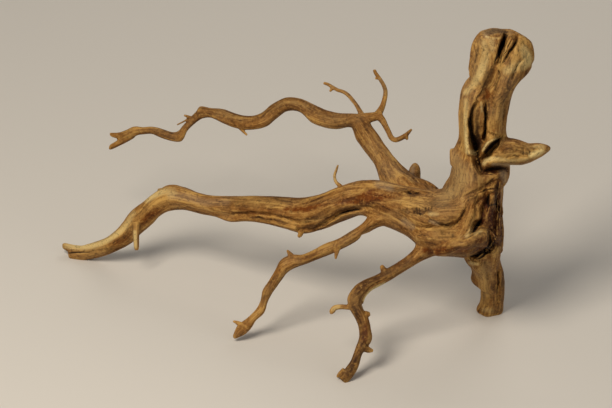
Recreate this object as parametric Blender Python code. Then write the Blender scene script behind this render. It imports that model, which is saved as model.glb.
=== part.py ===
# Driftwood stump: one piece of grown wood, standing on a broken foot and two of its root tips.
# Units are metres and +Z is up. The origin is at the middle of the flat foot, on the surface it stands on.
# The limbs are set out in millimetres on a layout board that leans back: across is +X, up climbs the
# board and out stands off it. turn_upright() brings the layout into the part's own frame.

import bmesh
import bpy
import numpy as np
from mathutils import Vector

MILLIMETRE = 0.001

# Driving dimensions
BOARD_LEAN = 30.0            # degrees that the layout board leans back from upright
FOOT_BACK = 10.0             # mm that the foot's middle lies behind the zero of the layout board
BARK = 0.5                   # mm added all round each limb, which the blend and the flat faces take off again
VOXEL = 1.3                  # mm, cell of the first blend of all the limbs
FINE_VOXEL = 1.1             # mm, cell after the splits are cut
TRIANGLES = 8000             # faces that are left on the blended wood
RING_STEP = 3.5              # mm between the rings of a limb
LIMB_SIDES = 24
TWIG_SIDES = 6
TWIG_STEP = 5.0              # mm between the rings of a twig
GROOVE_STEP = 4.0            # mm between the points of a groove
FULL_PRESS = 0.6             # a surface turned this far towards the board's front takes a groove whole
WALLS = 1.5                  # how much steeper than a bowl the walls of a groove are
SOFTEN_BLEND = 4             # times that the blended limbs are smoothed
TOP_LEVEL = 330.2            # mm, height of the flat top of the trunk's left half
TOP_EDGE = 17.0              # mm across, where that half ends
CUTTER_SIZE = (1200.0, 800.0, 100.0)    # mm, block that trims whatever lies under the floor
CUTTER_ACROSS = -200.0       # mm, its middle

WOOD_COLOUR = (0.33, 0.25, 0.17, 1.0)
WOOD_ROUGHNESS = 0.78

# Limbs: one station a line, from the thick end to the tip. Each gives the two edges of the limb on the
# board as (across, up) pairs, how far its middle stands out, and how thick it is in that direction.

LONG_ROOT = [
    (8, 120, 8, 72, 76, 30),
    (-2, 126, -2, 64, 79, 54),
    (-22, 130, -20, 58, 81, 72),
    (-42, 127, -40, 59, 82, 76),
    (-62, 125, -62, 62, 81, 70),
    (-86, 129, -84, 80, 77, 57),
    (-109, 134, -111, 91.5, 70, 46),
    (-130, 134, -128, 100, 62, 38),
    (-150, 128, -150, 93, 52, 36),
    (-170, 120, -170, 85, 42, 36),
    (-190, 117, -188, 82, 32, 35),
    (-210, 118, -210, 89, 22, 31),
    (-235, 119, -235, 93.5, 9, 28),
    (-260, 118.5, -260, 96.5, -4, 25),
    (-285, 120, -287, 101, -18, 22),
    (-305, 127, -306, 105.5, -29, 22),
    (-320, 130, -322, 104, -38, 22),
    (-334, 123, -332, 99, -45, 21),
    (-347, 113, -340, 90, -52, 19),
    (-360, 103, -352, 80, -60, 18),
    (-368, 92, -360, 72, -67, 17),
    (-380, 80, -375, 64, -76, 15),
    (-392, 74, -390, 58, -85, 14),
    (-408, 69, -408, 55, -95, 13),
    (-418, 67, -418, 55.5, -98, 10),
    (-424, 61, -423, 56.5, -99, 6),
]

LONG_ROOT_PRONG = [
    (-404, 68, -404, 59, -95, 9),
    (-418, 69.5, -418, 62, -98, 8),
    (-427, 71.5, -426, 64.5, -100, 7),
    (-430, 70.5, -430, 67, -100, 4),
]

LONG_ROOT_STRAND = [
    (-260, 98, -259, 93.5, 2, 8),
    (-242, 100, -243, 94, 13, 10),
    (-224, 98.5, -224, 91.5, 24, 12),
    (-206, 94.5, -208, 87.5, 34, 13),
    (-190, 90, -193, 83.5, 42, 12),
]

UPPER_BRANCH = [
    (-94, 94, -34, 106, 62, 34),
    (-104, 116, -52, 125, 46, 40),
    (-109, 132, -73, 136, 36, 34),
    (-115, 151, -90, 150, 28, 26),
    (-125, 165, -103, 166, 20, 22),
    (-133, 176, -110.5, 178, 14, 20),
    (-136.2, 184, -117.5, 187.5, 9, 18),
    (-137.5, 187.5, -121.5, 195, 6, 17),
    (-138.5, 188.3, -128, 200, 4, 16),
    (-143, 188.4, -139, 201.3, 0, 15),
    (-153, 186.4, -151, 202, -5, 14.5),
    (-165, 188, -164, 205, -10, 15),
    (-178, 193, -176, 210.5, -15, 14),
    (-190, 203.5, -190, 216.5, -21, 12),
    (-203, 204.5, -204, 217.5, -26, 11),
    (-214, 197, -218, 211, -32, 12),
    (-224, 189, -228, 202.5, -36, 12),
    (-238, 186, -240, 199, -41, 12),
    (-252, 187, -254, 201.2, -46, 12),
    (-266, 192, -267, 206, -51, 12),
    (-279, 198, -280, 207.2, -55.5, 10),
    (-288, 197.4, -290.5, 209, -59.5, 10),
    (-291.5, 195.6, -293.4, 204.6, -61, 9),
    (-298.5, 190, -301.5, 196.6, -63.5, 8),
    (-303.8, 184.4, -308.4, 188.8, -66, 7.5),
    (-306.6, 178, -311.8, 184.6, -67.5, 8),
    (-310.5, 173.9, -316, 183, -70, 9),
    (-320, 174.8, -321.5, 183.6, -73, 9.5),
    (-331, 178.6, -332, 187.2, -76.5, 9),
    (-339, 181.8, -340, 188.6, -79.5, 8),
    (-348, 181.4, -348.5, 188, -82.5, 7),
    (-354.5, 180.4, -357, 188.9, -85, 7.5),
    (-362.5, 176, -365, 185.4, -88, 8),
    (-371, 177.2, -371.8, 182.9, -91, 6.5),
    (-378, 178.2, -378.6, 182.6, -93, 5),
    (-381.6, 180, -382.2, 183, -94, 3.5),
]

UPPER_BRANCH_PRONG = [
    (-357, 178, -357.5, 184, -86, 7),
    (-365.5, 173.2, -364.5, 180, -89.5, 7),
    (-373, 169.6, -371.2, 176.4, -92, 6.5),
    (-379.8, 166.4, -377.4, 172.8, -94, 5.6),
    (-383, 165.8, -382, 170.4, -95, 3.6),
]

TRUNK = [
    (-6.5, 285, 25, 281, 174, 15),
    (-14.5, 277.5, 36, 274.5, 170.5, 26),
    (-19, 269, 41, 267, 166, 36),
    (-21.3, 254, 42.5, 254, 158, 42),
    (-22.8, 243, 37, 243, 152, 45),
    (-20.8, 236.5, 30, 237, 148.5, 46),
    (-26, 230, 25, 230, 144.5, 46),
    (-29.3, 223, 21.5, 223, 140.5, 46),
    (-31, 214, 19, 214, 135.5, 46),
    (-32, 201, 16.5, 201, 128, 46),
    (-31.5, 187, 15, 187, 120, 46),
    (-32, 175, 16, 175, 113, 48),
    (-36.5, 163, 17.5, 163, 106, 54),
    (-38, 150, 19, 150, 99, 62),
    (-40, 139, 18.3, 139, 93, 69),
    (-43, 131.5, 13.5, 132.5, 89, 71.5),
    (-49, 122, 12.5, 122, 84, 74),
    (-50, 108, 11.5, 105, 79, 74),
    (-40, 88, 13, 86, 72, 68),
    (-34, 66, 13, 66, 62, 54),
]

TORN_PEAK = [
    (-40, 150, -28, 148, 102, 16),
    (-40.5, 158, -31, 159, 104, 11),
    (-40.5, 164, -35.5, 165, 105, 6),
    (-40, 166.5, -37.5, 166.5, 105, 3),
]

# Fold that flows from the trunk down the front of the body, the lobe it ends beside, and the knob behind

BODY_FOLD = [
    (-21, 132, -6, 130, 100, 26),
    (-25, 115, -10, 112, 106, 26),
    (-30, 98, -14, 96, 108, 26),
    (-36, 84, -20, 78, 107, 26),
    (-44, 76, -34, 63, 104, 26),
    (-56, 71, -52, 59, 98, 22),
]

BODY_LOBE = [
    (-40, 79, -37, 65, 103, 22),
    (-27, 83, -24, 66, 109, 27),
    (-17, 88, -14, 69, 112, 31),
    (-6, 87, -8, 69, 111, 30),
    (0, 80, -7, 67, 105, 24),
    (-2, 71, -8, 65, 99, 14),
]

KNOB = [
    (-83, 122, -67, 122, 34, 16),
    (-82, 134, -69.5, 135, 30, 12.5),
    (-81.2, 142, -69.5, 142.5, 28, 11.5),
    (-79.6, 147.6, -70.4, 148, 27, 9.5),
    (-77.4, 150.8, -72.6, 151, 26, 5.5),
    (-76, 151.8, -73.6, 151.9, 25.5, 3),
]

STUB = [
    (-30, 78, 12, 78, 64, 50),
    (-27, 62, 10, 62, 51, 42),
    (-20, 52, 10, 53, 40, 35),
    (-18, 44, 13, 44.5, 32, 31),
    (-18.6, 38, 13.8, 38.5, 26, 29),
    (-16.8, 34.8, 14.2, 35, 22.5, 28),
    (-10, 32.6, 14.6, 33, 19.5, 26),
    (-9.2, 26, 14.6, 27, 11, 25),
    (-9, 17, 14.4, 18, 1, 25),
    (-9.5, 12, 13.8, 13, -3, 25),
    (-12.4, 6, 13.4, 7, -7, 26),
    (-12, 0, 12, 0, -12, 25),
]

SPUR = [
    (-10, 157, -9.5, 149, 122, 11),
    (-6, 160.5, -6, 147.8, 120.5, 20),
    (2, 168, 1, 148, 118.5, 27),
    (10, 175, 9, 149, 116, 31),
    (18, 176.5, 18, 150, 114, 30),
    (28, 174.8, 29, 150, 112, 26),
    (35, 172, 36, 151.6, 110.5, 22),
    (39, 171, 40, 153, 109.5, 20),
    (45, 171.6, 46, 156, 108, 17),
    (51.5, 171, 52, 159.4, 106.5, 13),
    (57, 169.2, 57, 163.2, 105, 8),
    (60, 167, 59.6, 165.4, 104, 3.5),
]

LOWER_ROOT = [
    (-96, 112, -92, 90, 78, 34),
    (-118, 101, -109, 89, 80, 18),
    (-128, 91, -122, 82, 79, 13),
    (-140, 83, -136, 73, 78, 12),
    (-152, 76, -149, 66, 76, 12),
    (-165, 71, -162, 60, 74, 12),
    (-178, 64, -175, 55, 72, 11),
    (-188, 60, -184, 51.5, 70, 11),
    (-198, 60, -196, 47, 68, 12),
    (-209, 55, -203, 42.5, 66, 13),
    (-215, 44, -207, 37.5, 64, 10),
    (-221, 34, -212, 30.5, 62, 9),
    (-227, 25, -218, 22, 60, 9),
    (-229, 15, -222.5, 13, 57, 7),
    (-233, 6.5, -226, 2.5, 55, 8),
    (-240, -1, -234, -5, 53, 8),
    (-247, -6.5, -239, -13, 51, 8),
    (-252, -10, -245, -19, 50, 7),
    (-256, -18, -253, -23, 49, 4),
    (-257.5, -22, -256, -24, 49, 2),
]

FRONT_ROOT = [
    (-66, 84, -50, 62, 84, 34),
    (-75, 68, -68, 55, 91, 22),
    (-82, 60, -78, 49, 94, 14),
    (-92, 53, -88, 43, 96, 12),
    (-102, 47, -99, 36, 98, 12),
    (-114, 40, -110, 30, 100, 12),
    (-126, 35, -121, 24, 102, 13),
    (-136, 28, -128, 17, 104, 14),
    (-142.5, 17, -129, 12, 106, 15),
    (-140, 6, -126, 4, 107, 14),
    (-134, -4, -122, -3, 108, 13),
    (-131, -14, -119.5, -14, 109, 12),
    (-131, -23, -119, -25, 110, 12),
    (-135, -34, -128, -38, 112, 9),
    (-139, -45, -131, -48, 113, 9),
    (-144, -52, -135, -57, 114, 9),
    (-149, -59, -141, -65, 114, 8),
    (-151, -62, -145, -68, 114, 5),
]

# Each limb with its flutes: how many run along it, how deep they are as a share of the thickness, and how
# many degrees they turn from one end to the other.
LIMBS = [
    (LONG_ROOT, (5, 0.10, 200)),
    (LONG_ROOT_PRONG, (3, 0.06, 0)),
    (LONG_ROOT_STRAND, (3, 0.05, 0)),
    (UPPER_BRANCH, (4, 0.10, 300)),
    (UPPER_BRANCH_PRONG, (3, 0.06, 0)),
    (TRUNK, (6, 0.09, 50)),
    (STUB, (5, 0.10, 20)),
    (SPUR, (4, 0.08, 40)),
    (TORN_PEAK, (3, 0.05, 0)),
    (BODY_FOLD, (3, 0.05, 0)),
    (BODY_LOBE, (3, 0.04, 0)),
    (KNOB, (3, 0.05, 0)),
    (LOWER_ROOT, (4, 0.08, 160)),
    (FRONT_ROOT, (4, 0.08, 160)),
]

# Splits, slots and pits pressed into the side that faces out of the board: one point a line of a groove, as
# across, up, half its width and how deep it goes.

FRONT_GROOVES = [
    # Two clefts in the trunk's top
    [(14.5, 282, 2.6, 8), (12.5, 274, 3.2, 14), (10, 265, 3.2, 14), (7.5, 256, 2.4, 9), (5.5, 249, 1.6, 4)],
    [(26, 277, 2, 3), (23.5, 270.5, 2.6, 7), (19.5, 263, 2.8, 7), (15.5, 256, 2.6, 5), (12, 250, 2.2, 2)],
    # Hollow down the middle of the trunk
    [(3, 243, 5, 2), (1, 231, 7, 4), (-2, 219, 8, 4), (1, 203, 8, 2.5), (3, 189, 7, 1.5)],
    # Slots on both sides of the trunk's sunken tongue, and the tongue itself
    [(-14.5, 212, 1.8, 4), (-18, 205, 2.4, 10), (-20, 193, 2.6, 14), (-19, 181, 3.6, 18), (-16, 170, 5.5, 20),
     (-14, 161, 5.5, 16)],
    [(-6, 211, 1.6, 4), (-5.6, 203, 1.8, 10), (-5.6, 189, 1.9, 12), (-6.5, 176, 2.4, 13)],
    [(-12, 206, 4, 1.5), (-12.5, 193, 6, 4), (-12.5, 182, 6, 8), (-12, 171, 7, 13)],
    # Torn gap behind the spur, the pit below it and the recess under the spur
    [(10, 178, 3, 8), (3, 169, 4, 16), (-5, 160, 4, 15), (-11, 152, 4.5, 12)],
    [(-16, 159, 4, 9), (-13, 150, 4.5, 11), (-9, 143, 4, 8)],
    [(-9, 143, 3, 8), (0, 146, 4, 13), (10, 147, 4.5, 13), (18, 146, 4, 10)],
    # Cracks on the trunk
    [(6.5, 243, 1.5, 2), (7.5, 239, 1.8, 4), (5, 231, 1.8, 4), (3, 224, 1.5, 3), (1, 218, 1.2, 1.5)],
    [(30, 255, 2, 1.5), (25, 247, 2.4, 3), (20, 238, 2.4, 3), (17, 226, 2, 1.5)],
    # Fold that curls round the foot of the trunk, the split under it and the wrinkles beside it
    [(-27, 104, 2.5, 2), (-31, 95.5, 2.8, 3), (-40, 89.5, 3, 3), (-50, 90, 3, 2.5), (-60, 94.5, 2.5, 2)],
    [(-74, 88.5, 1.6, 2), (-56, 88.5, 1.8, 4), (-38, 90.5, 1.6, 2)],
    [(-82, 104, 3.5, 2.5), (-70, 105, 4.5, 5), (-56, 107, 3.5, 2.5)],
    # Pit over the lobe, the rim under it and the gap above the foot
    [(-8, 96, 3, 5), (-14, 89, 5, 15), (-19, 82, 3.5, 7), (-27, 76, 2.5, 3)],
    [(-1, 84, 3, 8), (0, 75, 3.5, 12), (-6, 67, 4, 13), (-14, 61, 4, 12), (-24, 56, 4, 8)],
    [(16, 77, 3, 8), (6, 71, 3.5, 12), (-6, 64, 4, 12)],
    # Fissures of the rotten side
    [(-7, 129, 3.5, 4), (-4, 117, 4.5, 9), (-7, 105, 4.5, 9), (-9, 95, 3.5, 6)],
    [(6, 131, 2.5, 5), (6, 111, 3, 7), (4, 93, 3, 7), (4, 79, 2.5, 5)],
    [(12, 125, 2, 4), (11, 103, 2, 5), (12, 85, 2, 4)],
    [(-27, 117, 2.4, 2.5), (-14, 124, 2.8, 4), (-1, 131, 2.8, 5), (13, 137, 2.5, 4)],
    [(-18, 109, 2.4, 2), (-6, 117, 2.8, 4), (10, 125, 2.5, 4)],
    # Worn hollow, fold and strand line of the long root, and the holes of its two knots
    [(-160, 113, 4, 2), (-142, 117, 7, 5), (-124, 118, 8, 5), (-106, 116, 6, 3), (-90, 119, 4, 2)],
    [(-190, 85, 2.5, 3), (-174, 88, 3, 5), (-162, 94, 3.5, 6), (-149, 102, 3.5, 6), (-128, 107, 3, 4),
     (-112, 107, 2.5, 2)],
    [(-258, 100.5, 2, 2.5), (-240, 102, 2.5, 4), (-222, 100.5, 2.5, 4), (-205, 96.5, 2.5, 4), (-190, 92, 2, 3)],
    [(-92, 120, 2, 2), (-81, 122, 3, 5), (-71, 121, 3, 5), (-58, 122, 2, 2)],
    # Grain grooves of the foot and the upper branch
    [(10, 57, 2.2, 5), (8, 39, 2.4, 6), (9, 15, 2, 4)],
    [(-6, 53, 1.8, 3), (-2, 33, 2, 4), (-2, 9, 1.8, 3)],
    [(-92, 137, 2.5, 2), (-106, 155, 2.5, 3), (-118, 171, 2, 3), (-124, 183, 2, 2)],
]

# Ridges, lobes and torn strips raised on the same side, in the same form.

FRONT_RIDGES = [
    # Pillar at the trunk's left and the cheek over it
    [(-20, 223, 6, 3), (-26, 209, 5, 4), (-27, 191, 4.5, 5), (-25, 173, 4.5, 6), (-21, 161, 4, 5)],
    [(-12, 270, 8, 3), (-11, 253, 9, 4), (-12, 235, 8, 4)],
    # Lower edge of the spur and the torn strip behind it
    [(-6, 151.5, 4, 4), (4, 152.5, 4.5, 4), (18, 153.5, 4.5, 4), (34, 155, 4, 3.5), (46, 160, 3.5, 3), (55, 165.5, 3, 1.5)],
    [(-8, 161, 3, 4), (-4, 169, 3, 5), (3, 175, 3, 4)],
    # Swelling along the bottom of the body
    [(-70, 79, 7, 3), (-50, 75, 9, 5), (-28, 69, 7, 4)],
]

# Ledges on the same side: one point a line of an edge, as across, up, how far the low side reaches and how
# low it lies. The low side is on the left as one goes along the edge.

FRONT_LEDGES = [
    # Right edge of the trunk's left cheek
    [(5, 252, 4, 1.5), (1, 247, 8, 3.5), (-3.5, 239, 13, 4.5), (-7.5, 229, 13, 4.5), (-11, 221, 11, 4),
     (-16, 214, 8, 3), (-19, 208, 5, 2)],
    # Torn lower edge of the level part beside the tongue
    [(17, 177, 5, 2), (10, 179, 8, 3.5), (3, 181, 8, 4), (-3, 184, 6, 3), (-6, 186, 4, 2)],
    # Edge of the body's bulge, over the fold that curls round it
    [(-24, 113, 5, 1), (-26, 106, 6, 2.5), (-29, 99, 7, 3), (-35, 93.5, 8, 3.5), (-42, 91, 8, 3.5),
     (-50, 92, 7, 3), (-58, 95.5, 6, 2), (-66, 99.5, 5, 1.2)],
    # Edge between the smooth side of the body and the rotten one
    [(-12, 127, 6, 1), (-15, 117, 8, 3), (-17, 107, 8, 3.5), (-18, 98, 7, 3), (-22, 90, 5, 1.5)],
]

# Splits on the side that faces into the board, in the same form as the grooves.

BACK_GROOVES = [
    [(-4, 276, 3, 7), (-6, 250, 5, 9), (-8, 215, 4, 8), (-10, 180, 3, 6), (-12, 140, 3, 3)],
    [(20, 262, 3, 6), (14, 235, 4, 7), (6, 205, 4, 8), (3, 160, 4, 7), (2, 120, 3, 4)],
    [(-30, 150, 3, 3), (-34, 125, 5, 7), (-30, 100, 5, 8), (-22, 75, 4, 5)],
    [(-60, 112, 4, 4), (-84, 104, 5, 6), (-112, 106, 4, 5), (-140, 108, 3, 3)],
    [(-170, 98, 3, 3), (-205, 105, 4, 5), (-245, 108, 3, 4), (-280, 112, 2.5, 2)],
    [(-4, 60, 3, 3), (0, 35, 3, 5), (2, 8, 2.5, 4)],
]

# Splits on the sides that face right and left, with the part's own forward and height in place of across
# and up.

RIGHT_GROOVES = [
    [(-26, 322, 3, 4), (-22, 295, 4, 8), (-19, 262, 4, 7), (-14, 225, 3, 4)],
    [(-36, 300, 2.5, 4), (-35, 270, 3, 6), (-31, 232, 3, 4)],
    [(-8, 190, 3, 4), (-11, 162, 5, 8), (-15, 132, 5, 9), (-14, 95, 4, 5)],
    [(-40, 168, 3, 5), (-43, 140, 4, 8), (-39, 112, 4, 7), (-30, 85, 3, 4)],
    [(6, 152, 3, 4), (3, 120, 4, 6), (-2, 88, 3, 4)],
    [(-14, 78, 3, 4), (-7, 48, 3, 5), (1, 16, 2.5, 4)],
]

LEFT_GROOVES = [
    [(-24, 316, 3, 4), (-21, 285, 4, 7), (-24, 246, 4, 7), (-25, 208, 3, 4)],
    [(-7, 292, 2.5, 4), (-6, 255, 3, 6), (-9, 215, 3, 4)],
    [(-10, 180, 3, 4), (-16, 150, 4, 5), (-12, 128, 3, 3)],
    [(-18, 84, 3, 4), (-12, 52, 3, 5), (-2, 14, 2.5, 4)],
]

# Twigs, nubs and splinters: one point a line as across, up, out and thickness.

TWIGS = [
    # Twig standing on the long root
    [(-147, 124, 52, 6), (-150, 129, 50, 4.5), (-154, 133, 49, 3.4), (-155.5, 139, 48, 3),
     (-154, 144, 47, 3), (-152, 150, 46, 2)],
    # Arm at the crook of the upper branch, which carries two of its twigs
    [(-130, 196, 3, 13), (-121, 197.5, 7, 10.5), (-113, 199, 9, 9), (-107.5, 200.5, 9, 8)],
    # Twig off the crook to the left, with a nub
    [(-126, 196, 3, 8), (-129.5, 203, 0, 5.2), (-133, 209.5, -3, 4.2), (-137.5, 215.5, -5, 4.1),
     (-142, 220.5, -7, 4), (-147, 223.7, -9, 3.8), (-152, 225.2, -10, 3.8), (-157, 228, -12, 3.8),
     (-162, 231, -14, 3.4), (-166.5, 232.4, -15, 2.8)],
    [(-156, 228, -12, 4), (-158.5, 226, -12, 3.4), (-160, 223.6, -12, 2.2)],
    # Twig off the arm to the top, with a nub
    [(-114, 198, 8, 9), (-109.5, 204.5, 6, 7), (-106.3, 212, 3, 5.4), (-104.3, 222, -1, 4.8),
     (-105.7, 229, -3, 4.3), (-110, 236.5, -5, 4), (-114, 242, -6, 3.8), (-115.6, 245.6, -7, 3.2)],
    [(-110, 238, -5, 3.4), (-112.6, 237.2, -5, 2.8), (-114.8, 236.8, -5, 2)],
    # Twig off the arm that hooks down to the right, with a nub
    [(-112, 200, 9, 9), (-107.5, 195, 11, 7), (-104.5, 189.5, 12, 5.8), (-101.2, 183, 14, 5.4),
     (-98.4, 177.4, 15, 5.4), (-94, 175.2, 16, 5.2), (-87, 178, 17, 5), (-82.4, 181.6, 18, 4),
     (-78, 186, 19, 2.2)],
    [(-84, 180.5, 18, 4.4), (-83.2, 177.5, 18, 3.8), (-82.6, 175.2, 18, 2.4)],
    # Small twig under the upper branch
    [(-251, 189, -45, 5), (-247, 184, -44, 3.2), (-243, 180, -43, 2)],
    # Splinter below the upper branch's corner near its far end
    [(-296, 195.5, -63, 5), (-302, 198.6, -63, 3.2), (-306.8, 200.3, -62, 2)],
    # Spike that hangs on the front of the long root
    [(-355, 93, -46, 8), (-355, 84, -46, 7), (-354.6, 74, -48, 6), (-354.4, 67.5, -49.5, 5.4),
     (-354.4, 64.6, -50, 3.8)],
    # Hooked nub under the long root
    [(-188, 86, 40, 7), (-190, 80, 40, 5), (-192, 78, 40, 3)],
    # Spikes of the lower root
    [(-197, 56, 69, 7), (-200, 61, 69, 5), (-203, 65, 69, 2)],
    [(-152, 70, 78, 8), (-153.5, 63, 79, 5), (-154.5, 56, 80, 2)],
    [(-246, -12, 52, 7), (-252, -8, 52, 4.5), (-257, -6, 52, 2)],
    # Side hook of the front root
    [(-136, 8.6, 107, 8), (-143, 8.3, 106, 5.4), (-150, 8.6, 105, 5.2), (-155.4, 7.4, 104, 5.6),
     (-158, 3.8, 103.5, 5.8), (-157.6, 2, 103, 4.4)],
    # Nubs of the front root
    [(-106, 44, 99, 7), (-108, 48, 99, 5), (-109, 50, 99, 3)],
    [(-128, -31, 111, 9), (-122, -34.2, 111, 6.5), (-117, -35.2, 111, 2.8)],
    [(-124, 1, 108, 8), (-120, 1.6, 108, 3.6)],
    # Side prong at the front root's tip
    [(-145, -55, 114, 8), (-150, -58.6, 113, 5.5), (-153.2, -61.4, 112, 2.6)],
]


def turn_upright(across, up, out):
    """Directions on the layout board, in millimetres, as directions of the part, in metres."""
    lean = np.radians(BOARD_LEAN)
    points = np.stack([
        across,
        up * np.sin(lean) - out * np.cos(lean),
        up * np.cos(lean) + out * np.sin(lean),
    ], axis=-1)
    return points * MILLIMETRE


def stand_on_foot(across, up, out):
    """The same for a place: the foot's middle comes to the origin."""
    return turn_upright(across, up, out) - np.array([0.0, FOOT_BACK * MILLIMETRE, 0.0])


def smooth_path(stations, step):
    """A Catmull-Rom curve through rows of numbers whose first three are a place, read every step or so."""
    rows = np.asarray(stations, dtype=float)
    padded = np.vstack([2 * rows[0] - rows[1], rows, 2 * rows[-1] - rows[-2]])
    result = []
    for before, start, end, after in zip(padded, padded[1:], padded[2:], padded[3:]):
        count = max(1, int(np.ceil(np.linalg.norm((end - start)[:3]) / step)))
        for t in np.arange(count) / count:
            result.append(0.5 * (2 * start + (end - before) * t
                                 + (2 * before - 5 * start + 4 * end - after) * t ** 2
                                 + (3 * start - before - 3 * end + after) * t ** 3))
    result.append(rows[-1])
    return np.array(result)


def board_place(points):
    """The across, up and out of points of the part, in millimetres: stand_on_foot() undone."""
    lean = np.radians(BOARD_LEAN)
    across, forward, height = (points / MILLIMETRE).T
    forward = forward + FOOT_BACK
    up = forward * np.sin(lean) + height * np.cos(lean)
    out = height * np.sin(lean) - forward * np.cos(lean)
    return across, up, out


def loft(middles, half_axes, sides, flutes=None):
    """One closed tube through rings: each ring is its middle plus two half-axis vectors."""
    half_wide, half_thick = half_axes
    angles = np.arange(sides) * 2 * np.pi / sides
    rings = []
    for number, (middle, wide, thick) in enumerate(zip(middles, half_wide, half_thick)):
        ring = np.outer(np.cos(angles), wide) + np.outer(np.sin(angles), thick)
        if flutes is not None:
            count, depth, turn = flutes
            phase = np.radians(turn) * number / len(middles)
            share = depth * np.sin(angles) ** 2 * np.cos(count * angles + phase)
            ring = ring * (1 + share)[:, None]
        rings.append(middle + ring)
    vertices = np.vstack(rings + [middles[0], middles[-1]])
    first_pole = len(vertices) - 2
    last_pole = len(vertices) - 1
    faces = []
    for ring in range(len(rings) - 1):
        for side in range(sides):
            here = ring * sides + side
            beside = ring * sides + (side + 1) % sides
            faces.append((here, beside, beside + sides, here + sides))
    last_ring = (len(rings) - 1) * sides
    for side in range(sides):
        beside = (side + 1) % sides
        faces.append((first_pole, beside, side))
        faces.append((last_pole, last_ring + side, last_ring + beside))
    return vertices, faces


def limb_mesh(stations, flutes):
    """The fluted tube of one limb, from the stations of its two edges."""
    rows = np.asarray(stations, dtype=float)
    edges = np.column_stack([(rows[:, 0] + rows[:, 2]) / 2, (rows[:, 1] + rows[:, 3]) / 2, rows[:, 4],
                             (rows[:, 0] - rows[:, 2]) / 2, (rows[:, 1] - rows[:, 3]) / 2, rows[:, 5] / 2])
    path = smooth_path(edges, RING_STEP)
    middles = stand_on_foot(path[:, 0], path[:, 1], path[:, 2])
    half_width = np.hypot(path[:, 3], path[:, 4])[:, None]
    wide = turn_upright(path[:, 3], path[:, 4], np.zeros(len(path))) * (1 + BARK / half_width)
    along = np.gradient(middles, axis=0)
    thick = np.cross(along, wide)
    thick = thick / np.linalg.norm(thick, axis=1)[:, None] * (path[:, 5:6] + BARK) * MILLIMETRE
    return loft(middles, (wide, thick), LIMB_SIDES, flutes)


def twig_mesh(points, sides):
    """The round tube of one twig, nub or splinter."""
    path = smooth_path(points, TWIG_STEP)
    middles = stand_on_foot(path[:, 0], path[:, 1], path[:, 2])
    along = np.gradient(middles, axis=0)
    wide = np.cross(along, turn_upright(0.0, 0.0, 1.0))
    wide = wide / np.linalg.norm(wide, axis=1)[:, None]
    thick = np.cross(along, wide)
    thick = thick / np.linalg.norm(thick, axis=1)[:, None]
    radius = path[:, 3:4] / 2 * MILLIMETRE
    return loft(middles, (wide * radius, thick * radius), sides)


def new_object(name, shapes):
    """An object that holds several closed tubes, with their faces pointing out."""
    vertices = []
    faces = []
    for shape_vertices, shape_faces in shapes:
        faces += [tuple(len(vertices) + index for index in face) for face in shape_faces]
        vertices += [tuple(vertex) for vertex in shape_vertices]
    mesh = bpy.data.meshes.new(name)
    mesh.from_pydata(vertices, [], faces)
    made = bpy.data.objects.new(name, mesh)
    bpy.context.scene.collection.objects.link(made)
    return made


def add_modifier(target, name, kind, **settings):
    modifier = target.modifiers.new(name, kind)
    for setting, value in settings.items():
        setattr(modifier, setting, value)
    return modifier


def groove_depth(across, up, grooves, one_sided):
    """How deep the deepest groove, or the low side of the lowest ledge, is at each place of the board."""
    deepest = np.zeros(len(across))
    for groove in grooves:
        rows = smooth_path(groove, GROOVE_STEP)
        nearest = np.full(len(across), np.inf)
        depth = np.zeros(len(across))
        half_width = np.ones(len(across))
        low_side = np.zeros(len(across), dtype=bool)
        for start, end in zip(rows, rows[1:]):
            run = end[:2] - start[:2]
            share = ((across - start[0]) * run[0] + (up - start[1]) * run[1]) / (run @ run)
            share = np.clip(share, 0, 1)
            away = np.hypot(across - start[0] - share * run[0], up - start[1] - share * run[1])
            closer = away < nearest
            nearest = np.where(closer, away, nearest)
            half_width = np.where(closer, start[2] + share * (end[2] - start[2]), half_width)
            depth = np.where(closer, start[3] + share * (end[3] - start[3]), depth)
            left = run[0] * (up - start[1]) - run[1] * (across - start[0]) > 0
            low_side = np.where(closer, left, low_side)
        bowl = depth * np.clip(1 - (nearest / half_width) ** 2, 0, 1) ** WALLS
        if one_sided:
            bowl = bowl * low_side
        deepest = np.maximum(deepest, bowl)
    return deepest


def press(places, normals, towards, first, second, grooves, sense, one_sided=False):
    """Push what faces towards a side in along its grooves, or out along its ridges where sense is -1."""
    facing = np.clip(normals @ towards / FULL_PRESS, 0, 1)
    push = facing * groove_depth(first, second, grooves, one_sided) * sense * MILLIMETRE
    return places - push[:, None] * towards


def press_all_sides(mesh):
    """Cut the splits and raise the ridges of every side of the wood."""
    count = len(mesh.vertices)
    places = np.empty(count * 3)
    normals = np.empty(count * 3)
    mesh.vertices.foreach_get("co", places)
    mesh.vertices.foreach_get("normal", normals)
    places = places.reshape(-1, 3)
    normals = normals.reshape(-1, 3)
    board_out = turn_upright(0.0, 0.0, 1.0) / MILLIMETRE
    right = np.array([1.0, 0.0, 0.0])
    across, up, _ = board_place(places)
    forward = places[:, 1] / MILLIMETRE
    height = places[:, 2] / MILLIMETRE
    places = press(places, normals, board_out, across, up, FRONT_RIDGES, -1)
    places = press(places, normals, board_out, across, up, FRONT_LEDGES, 1, one_sided=True)
    places = press(places, normals, board_out, across, up, FRONT_GROOVES, 1)
    places = press(places, normals, -board_out, across, up, BACK_GROOVES, 1)
    places = press(places, normals, right, forward, height, RIGHT_GROOVES, 1)
    places = press(places, normals, -right, forward, height, LEFT_GROOVES, 1)
    mesh.vertices.foreach_set("co", places.ravel())
    mesh.update()


def flatten_top(mesh):
    """The trunk's left half ends in a level face."""
    for vertex in mesh.vertices:
        if vertex.co.z > TOP_LEVEL * MILLIMETRE and vertex.co.x < TOP_EDGE * MILLIMETRE:
            vertex.co.z = TOP_LEVEL * MILLIMETRE


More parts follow.
